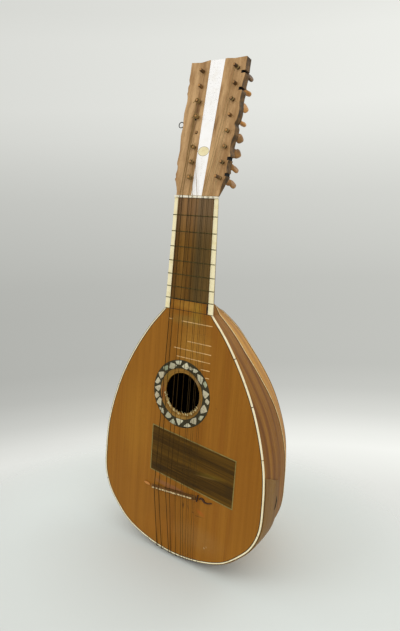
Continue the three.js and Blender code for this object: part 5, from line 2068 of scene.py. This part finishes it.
@dataclass
class Pegs:
    """Sixteen pegs put in from behind, in two rows.

    Attributes:
        rows: How many pegs a row has.
        pitch: Distance between two pegs of a row.
        top: Height of the top ones.
        right_x: Place across of the right row.
        left_x: Place across of the left row's top and foot.
        front_radius: Radius at the front.
        back_radius: Radius at the back.
        tip: Length of the longest tip.
        standoff: From the head's back to the collar.
        tips: Length of each tip as a share, left and right, from the top.
        turns: How far each knob is turned, as a share of half a turn.
        tones: Tone of each peg's wood.
        knob: Share of the knob's length and its thickness there.
    """

    rows: int = 8
    pitch: float = 29.6
    top: float = 246.0
    right_x: float = 49.0
    left_x: tuple[float, float] = (-30.0, -19.5)
    front_radius: float = 3.3
    back_radius: float = 4.0
    tip: float = 20.0
    standoff: float = 12.0
    tips: Array = table([0.62, 0.55, 0.6, 0.5, 0.1, 0.3, 0.5, 0.5],
                        [0.85, 0.5, 0.48, 0.42, 0.42, 0.38, 0.5, 0.95])
    turns: Array = table([0.1, 0.62, 0.35, 0.85, 0.5, 0.2, 0.7, 0.4],
                         [0.3, 0.05, 0.45, 0.12, 0.55, 0.6, 0.28, 0.35])
    tones: Array = table([0.4, 0.6, 0.3, 0.5, 0.45, 0.6, 0.4, 0.5],
                         [0.3, 0.8, 1.0, 0.75, 0.4, 0.4, 0.6, 0.55])
    knob: Array = table([0, 3.6], [0.2, 3.4], [0.6, 4.5], [0.9, 3.6], [1, 0.6])

    def place(self, side: Side, row: int) -> tuple[float, float]:
        """Place across and height of a peg on the head; row 0 is the top one."""
        left = np.interp(row, [0, self.rows - 1], self.left_x)
        return self.right_x if side is Side.RIGHT else left, self.top - row * self.pitch

    def shape(self, side: Side, row: int) -> Shape:
        """One peg: tapered shaft, ringed collar and a flat rounded knob.

        Args:
            side: Its side.
            row: Its row, from the top.

        Returns:
            Ovals carried along Y. The knob's are wide in X and thin in Z.
        """
        index = list(Side).index(side)
        tip = -self.tip * self.tips[index, row]
        back = HEAD_THICKNESS + self.standoff
        f, b = self.front_radius, self.back_radius
        shaft = np.array([
            [0.3, tip, 1], [0.62 * f, tip + 0.12, 1], [0.86 * f, tip + 0.6, 1],
            [0.97 * f, tip + 1.6, 1], [f, tip + 3.2, 1], [b, back - 4.2, 1],
            [b + 0.9, back - 3.2, 1], [b + 0.6, back - 2.4, 1], [6.1, back - 0.6, 1],
            [6.4, back + 0.4, 1], [6.3, back + 1.6, 1], [5.0, back + 2.7, 1],
            [3.9, back + 3.4, 0.95]])
        share = np.linspace(0.04, 1, 22)
        wide = 9.2 * np.clip(np.sin(np.pi * share ** 0.78) ** 0.62, 0.03, 1)
        wide = np.maximum(wide, 4.0 * (1 - share * 3))
        thin = np.minimum(np.interp(share, *self.knob.T) / wide, 1)
        rows = np.concatenate([shaft, spread(wide, back + 3.4 + 23.2 * share, thin)])
        peg = lathe(rows[:, :2], 24, rows[:, 2])
        y = peg.points[:, 1]
        tone = np.where(y > HEAD_THICKNESS, self.tones[index, row], 0.1)
        # The very end of each tip is lighter: a painted highlight.
        peg.tone = np.where(y < tip + 0.3, 0.6, tone)
        x, z = self.place(side, row)
        angle = -math.pi * self.turns[index, row]
        return peg.moved(lambda p: from_head(turned(p, angle, 0, 2) + [x, 0, z]))

    def build(self) -> None:
        """Makes each peg on its own body."""
        for side in Side:
            word = side.name.lower()
            for row in range(self.rows):
                place_piece(f"{word}_peg_{row + 1}_turned", self.shape(side, row),
                            Finishes.peg_wood, [f"peg_{word}_{row + 1}"],
                            f"{word}_peg_{row + 1}")


@dataclass(frozen=True)
class Wire:
    """One string.

    Attributes:
        index: Its place from the left, from 0.
        side: Side of its peg.
        row: Row of its peg, from the top.
        flank: Flank of the peg that it leaves, -1 for the left one.
        share: Its thickness as a share of the thickest string's.
        thickest: Thickness of the thickest string.
    """

    index: int
    side: Side
    row: int
    flank: int
    share: float
    thickest: float = 1.5

    @property
    def radius(self) -> float:
        """Its radius."""
        return self.thickest * self.share / 2

    @property
    def hand(self) -> int:
        """Its side of its pair, -1 for the left one."""
        return 1 if self.index % 2 else -1


@dataclass
class Strings:
    """The strings that are left, their windings on the pegs and their loops at the tail.

    Attributes:
        wires: The strings.
        wound: How many of them, from the left, are wound.
        nut_span: Distance from the first to the last course at the nut.
        bridge_span: The same at the bridge, whose middle lies 1 mm to the right.
        pair_at_nut: Distance between the strings of a pair at the nut.
        pair_at_bridge: The same at the bridge.
        slipped: How far the first string has slipped to the right at nut and bridge.
        coil_start: Place on the peg's axis where the string meets its coil.
        turns_on_peg: Turns of the string on its peg.
    """

    wires: tuple[Wire, ...] = (
        Wire(0, Side.LEFT, 2, -1, 1.0), Wire(2, Side.LEFT, 3, -1, 0.9),
        Wire(5, Side.LEFT, 7, 1, 0.8), Wire(6, Side.LEFT, 6, 1, 0.7),
        Wire(8, Side.LEFT, 5, 1, 0.6), Wire(10, Side.RIGHT, 0, -1, 0.55),
        Wire(11, Side.RIGHT, 2, -1, 0.5), Wire(12, Side.RIGHT, 4, -1, 0.45),
        Wire(13, Side.RIGHT, 5, -1, 0.4), Wire(14, Side.RIGHT, 6, -1, 0.36),
        Wire(15, Side.RIGHT, 7, -1, 0.33))
    wound: int = 5
    nut_span: float = 82.0
    bridge_span: float = 103.0
    pair_at_nut: float = 3.4
    pair_at_bridge: float = 4.4
    slipped: tuple[float, float] = (5.5, 2.8)
    coil_start: float = -5.0
    turns_on_peg: float = 4.0

    def across(self, wire: Wire) -> tuple[float, float]:
        """Places across of a string at the nut and at the bridge."""
        course = (wire.index // 2) / 7 - 0.5
        nut, bridge = self.slipped if wire.index == 0 else (0.0, 0.0)
        return (self.nut_span * course + self.pair_at_nut / 2 * wire.hand + nut,
                1 + self.bridge_span * course + self.pair_at_bridge / 2 * wire.hand + bridge)

    def path(self, wire: Wire, bowl: Bowl, pegs: Pegs, bridge: Bridge) -> Array:
        """The line of a string from its peg to its pin.

        Args:
            wire: The string.
            bowl: The bowl that it goes round.
            pegs: The pegs.
            bridge: The bridge that it crosses.

        Returns:
            Places along it, close together where it bends.
        """
        peg_x, peg_z = pegs.place(wire.side, wire.row)
        away = wire.flank * (pegs.front_radius + wire.radius)
        lift = wire.radius + CLEARANCE
        over_nut = -1.6 - lift
        over_saddle = -bridge.height - bridge.saddle_height - 3 * CLEARANCE - lift
        nut_x, x = self.across(wire)
        bridge_z = bridge.z + (x - bridge.x) * math.tan(bridge.turn)
        pin_x = bowl.pin_places()[wire.index // 2, 0]
        tail_x = pin_x + wire.hand * (1.5 * bowl.pin_radius + lift)
        turn = math.atan2(-bowl.clasp_reach, tail_x)
        reach = float(bowl.reach(turn, bowl.binding_depth))
        edge = bowl.clasp_middle + reach * math.sin(turn)
        below = edge - bowl.clasp_gap - bowl.clasp_thickness - lift - CLEARANCE
        corners = np.array([
            from_head(np.array([peg_x + away, self.coil_start, peg_z])),
            [nut_x, over_nut, 4.2], [nut_x, over_nut, CLEARANCE], [x, over_saddle, bridge_z],
            [tail_x, -lift - CLEARANCE, edge - lift - CLEARANCE],
            [tail_x, bowl.binding_depth, below], [tail_x, bowl.pin_depth, below]])
        steps = [14, 3, 60, 24, 4, 5]
        parts = [np.linspace(a, b, n, endpoint=False)
                 for a, b, n in zip(corners[:-1], corners[1:], steps)]
        return np.concatenate([*parts, corners[-1:]])

    def coil(self, wire: Wire, pegs: Pegs) -> Shape:
        """The turns of a string on its peg: a helix with a short loose end.

        Args:
            wire: The string.
            pegs: The pegs.

        Returns:
            The coil.
        """
        x, z = pegs.place(wire.side, wire.row)
        turn = np.linspace(0, 2 * np.pi * self.turns_on_peg, int(22 * self.turns_on_peg))
        pitch = 1.02 * 2 * wire.radius
        y = self.coil_start + 0.6 - pitch * turn / (2 * np.pi)
        angle = turn if wire.flank > 0 else turn + np.pi
        size = pegs.front_radius + wire.radius
        helix = spread(x + size * np.cos(angle), y, z + size * np.sin(angle))
        last = helix[-1]
        ahead, out = unit(last - helix[-2]), unit((last - [x, 0, z]) * [1, 0, 1])
        share = np.linspace(0.15, 1, 8)[:, None]
        end = last + share * ahead * 5.5 + share ** 2 * (out * 2.2 + [0, -1.6, 0])
        return tube(from_head(np.concatenate([helix, end])), wire.radius, 8, tone=wire.share)

    def loop(self, wire: Wire, bowl: Bowl, height: float) -> Shape:
        """The loop of a string round its pin, in the plane across and back.

        Args:
            wire: The string.
            bowl: The bowl with the pins.
            height: Height at which the string arrives.

        Returns:
            The loop.
        """
        turn = np.linspace(0, 2 * np.pi, 40)
        angle = turn if wire.hand > 0 else turn + np.pi
        size = bowl.pin_radius + wire.radius + 0.05
        ring = spread(bowl.pin_places()[wire.index // 2, 0] + size * np.cos(angle),
                      bowl.pin_depth + size * np.sin(angle),
                      height + 0.9 * wire.radius * np.sin(turn / 2))
        return tube(ring, wire.radius * 0.9, 8, reference=(0, 0, 1))

    def build(self, bowl: Bowl, pegs: Pegs, bridge: Bridge) -> None:
        """Makes each string, its coil and its loop.

        Args:
            bowl: The bowl.
            pegs: The pegs.
            bridge: The bridge.
        """
        for order, wire in enumerate(self.wires):
            finish = Finishes.wound_wire if order < self.wound else Finishes.plain_wire
            path = self.path(wire, bowl, pegs, bridge)
            shape = joined([tube(path, wire.radius), self.loop(wire, bowl, path[-1, 2])])
            name = f"string_{wire.index + 1}"
            place_piece(f"{name}_wire", shape, finish, [name])
            place_piece(f"{name}_coil", self.coil(wire, pegs), finish,
                        body=f"{wire.side.name.lower()}_peg_{wire.row + 1}")


@dataclass
class Studio:
    """The plain studio: floor, backdrop, lamps and camera. Its places are in metres.

    Attributes:
        camera_place: Place of the camera, from the hanging eye.
        yaw: Turn of the view to the right of the front, in degrees.
        pitch: How far the camera looks down, in degrees.
        roll: How far the camera is rolled, in degrees.
        lens: Focal length for a 36 mm long side.
        aim: Place that the lamps look at.
        ambient: Strength of the even light.
        from_above: How much stronger it is from straight above, as a share.
        backdrop: Height of the view and grey level of the backdrop there.
        backdrop_low: Lowest height of the backdrop's colours.
        backdrop_high: Their highest one.
        backdrop_slope: How the backdrop's bands slope down to the left.
        backdrop_turn: How much brighter the backdrop grows to the right.
        floor_middle: Place of the floor's middle.
        floor_rings: Radii of the floor's rings.
        floor_fade: Distances from its middle where the floor starts to fade and has gone.
    """

    camera_place: tuple[float, float, float] = (0.696615, -0.908622, -0.194567)
    yaw: float = 34.233
    pitch: float = 9.364
    roll: float = 4.150
    lens: float = 31.20
    aim: tuple[float, float, float] = (0.07, 0.08, -0.42)
    ambient: float = 0.62
    from_above: float = 0.5
    backdrop: tuple[tuple[float, int], ...] = (
        (-0.6, 215), (-0.52, 216), (-0.47, 217), (-0.44, 221), (-0.41, 230), (-0.385, 237),
        (-0.36, 228), (-0.33, 210), (-0.29, 193), (-0.25, 186), (-0.15, 187), (-0.1, 189),
        (-0.05, 195), (0.0, 200), (0.05, 205), (0.1, 213), (0.15, 222), (0.2, 228),
        (0.3, 229), (0.34, 225))
    backdrop_low: float = -0.7
    backdrop_high: float = 0.4
    backdrop_slope: float = 0.11
    backdrop_turn: float = 0.27
    floor_middle: tuple[float, float] = (0.07, 0.05)
    floor_rings: tuple[float, ...] = (0.001, 0.3, 0.6, 1.0, 2.0)
    floor_fade: tuple[float, float] = (0.36, 0.66)

    def stand(self, data: bpy.types.ID, place: Sequence[float], back: Array,
              roll: float = 0.0) -> bpy.types.Object:
        """Stands a camera or a lamp in the studio.

        Args:
            data: The camera or the lamp.
            place: Its place.
            back: The direction that points back from it.
            roll: Its turn about that direction, in radians.

        Returns:
            Its object.
        """
        right = unit(np.cross([0.0, 0.0, 1.0], back))
        up = np.cross(back, right)
        c, s = math.cos(roll), math.sin(roll)
        matrix = np.eye(4)
        matrix[:3] = np.stack([c * right + s * up, c * up - s * right, back, place], 1)
        stood = bpy.data.objects.new(data.name, data)
        bpy.context.scene.collection.objects.link(stood)
        stood.matrix_world = Matrix(matrix.tolist())
        return stood

    def camera(self) -> None:
        """Makes the camera: its axes come from the yaw and the pitch, turned by the roll."""
        a, e, r = (math.radians(v) for v in (self.yaw, self.pitch, self.roll))
        data = bpy.data.cameras.new("Camera")
        data.lens, data.sensor_width = self.lens, 36.0
        back = np.array([math.sin(a) * math.cos(e), -math.cos(a) * math.cos(e), math.sin(e)])
        bpy.context.scene.camera = self.stand(data, self.camera_place, back, r)

    def lamp(self, name: str, place: tuple[float, float, float], power: float,
             size: float) -> None:
        """A square soft lamp that looks at the instrument's middle.

        Args:
            name: Its name.
            place: Where it stands.
            power: Its power.
            size: Its side.
        """
        data = bpy.data.lights.new(name, "AREA")
        data.energy, data.size = power, size
        self.stand(data, place, unit(np.subtract(place, self.aim)))

    def world(self) -> None:
        """Even light, and behind the instrument a backdrop whose grey changes with height."""
        bpy.context.scene.world = bpy.data.worlds.new("Studio")
        graph = Graph.empty(bpy.context.scene.world)
        ray = graph.node("LightPath").outputs
        x, y, z = graph.split(graph.node("TexCoord").outputs["Generated"])
        a = math.radians(self.yaw)
        aside = graph.times(x, math.cos(a), graph.times(y, math.sin(a)))
        level = graph.times(aside, -self.backdrop_slope, z)
        low, high = self.backdrop_low, self.backdrop_high
        share = graph.first("MapRange", {0: level, 1: low, 2: high})
        backdrop = graph.ramp(share, [
            ((place - low) / (high - low), f"#{v:02x}{v + 1:02x}{v - 4:02x}")
            for place, v in self.backdrop])
        above = graph.times(z, self.from_above * self.ambient, self.ambient)
        even = graph.first("Background", {0: (1.0, 0.99, 0.965, 1.0), 1: above})
        brighter = graph.times(aside, self.backdrop_turn, 1.0)
        seen = graph.first("Background", {0: backdrop, 1: brighter})
        direct = graph.math("MAXIMUM", ray["Is Camera Ray"], ray["Is Transmission Ray"])
        graph.node("OutputWorld", {0: graph.first("MixShader", {0: direct, 1: even, 2: seen})})

    def floor(self) -> None:
        """A pale round floor that fades into the backdrop and keeps the shadow."""
        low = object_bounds()[0][2]
        sides, (x, y) = 96, self.floor_middle
        turn = np.linspace(0, 2 * np.pi, sides, endpoint=False)
        radius = np.array(self.floor_rings)[:, None]
        points = spread(x + radius * np.cos(turn), y + radius * np.sin(turn), low - 0.0004)
        start = np.arange(len(radius) - 1)[:, None] * sides
        this, after = start + np.arange(sides), start + (np.arange(sides) + 1) % sides
        faces = spread(this, this + sides, after + sides, after)
        mesh = bpy.data.meshes.new("floor")
        mesh.from_pydata(points.reshape(-1, 3).tolist(), [], faces.reshape(-1, 4).tolist())
        floor = bpy.data.objects.new("floor", mesh)
        bpy.context.scene.collection.objects.link(floor)
        material = bpy.data.materials.new("Pale floor")
        graph = Graph.empty(material)
        away = graph.length(graph.vector("SUBTRACT", graph.place(), (x, y, float(low))))
        paper = graph.first("BsdfDiffuse", {0: "#dde3e0"})
        mixed = graph.first("MixShader", {0: graph.span(away, *self.floor_fade), 1: paper,
                                          2: graph.first("BsdfTransparent")})
        graph.node("OutputMaterial", {0: mixed})
        mesh.materials.append(material)
        floor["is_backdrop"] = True

    def build(self) -> None:
        """Sets up the studio."""
        self.camera()
        self.world()
        self.floor()
        self.lamp("Key lamp", (-1.1, -2.0, 0.9), 16.0, 1.5)
        self.lamp("Fill lamp", (1.7, -1.5, 0.4), 9.0, 1.4)
        self.lamp("Back lamp", (0.9, 1.9, 0.9), 7.0, 1.2)
        bpy.context.scene.view_settings.view_transform = "Standard"


def main() -> None:
    """Builds the studio and the instrument, sub-assembly by sub-assembly."""
    logging.basicConfig(level=logging.INFO, format="%(name)s: %(message)s")
    Studio().build()
    bowl, pegs, bridge = Bowl(), Pegs(), Bridge()
    bowl.build()
    Rosette().build()
    Front().build()
    Neck().build(bowl)
    bridge.build()
    Head().build()
    pegs.build()
    Strings().build(bowl, pegs, bridge)


if __name__ == "__main__":
    main()
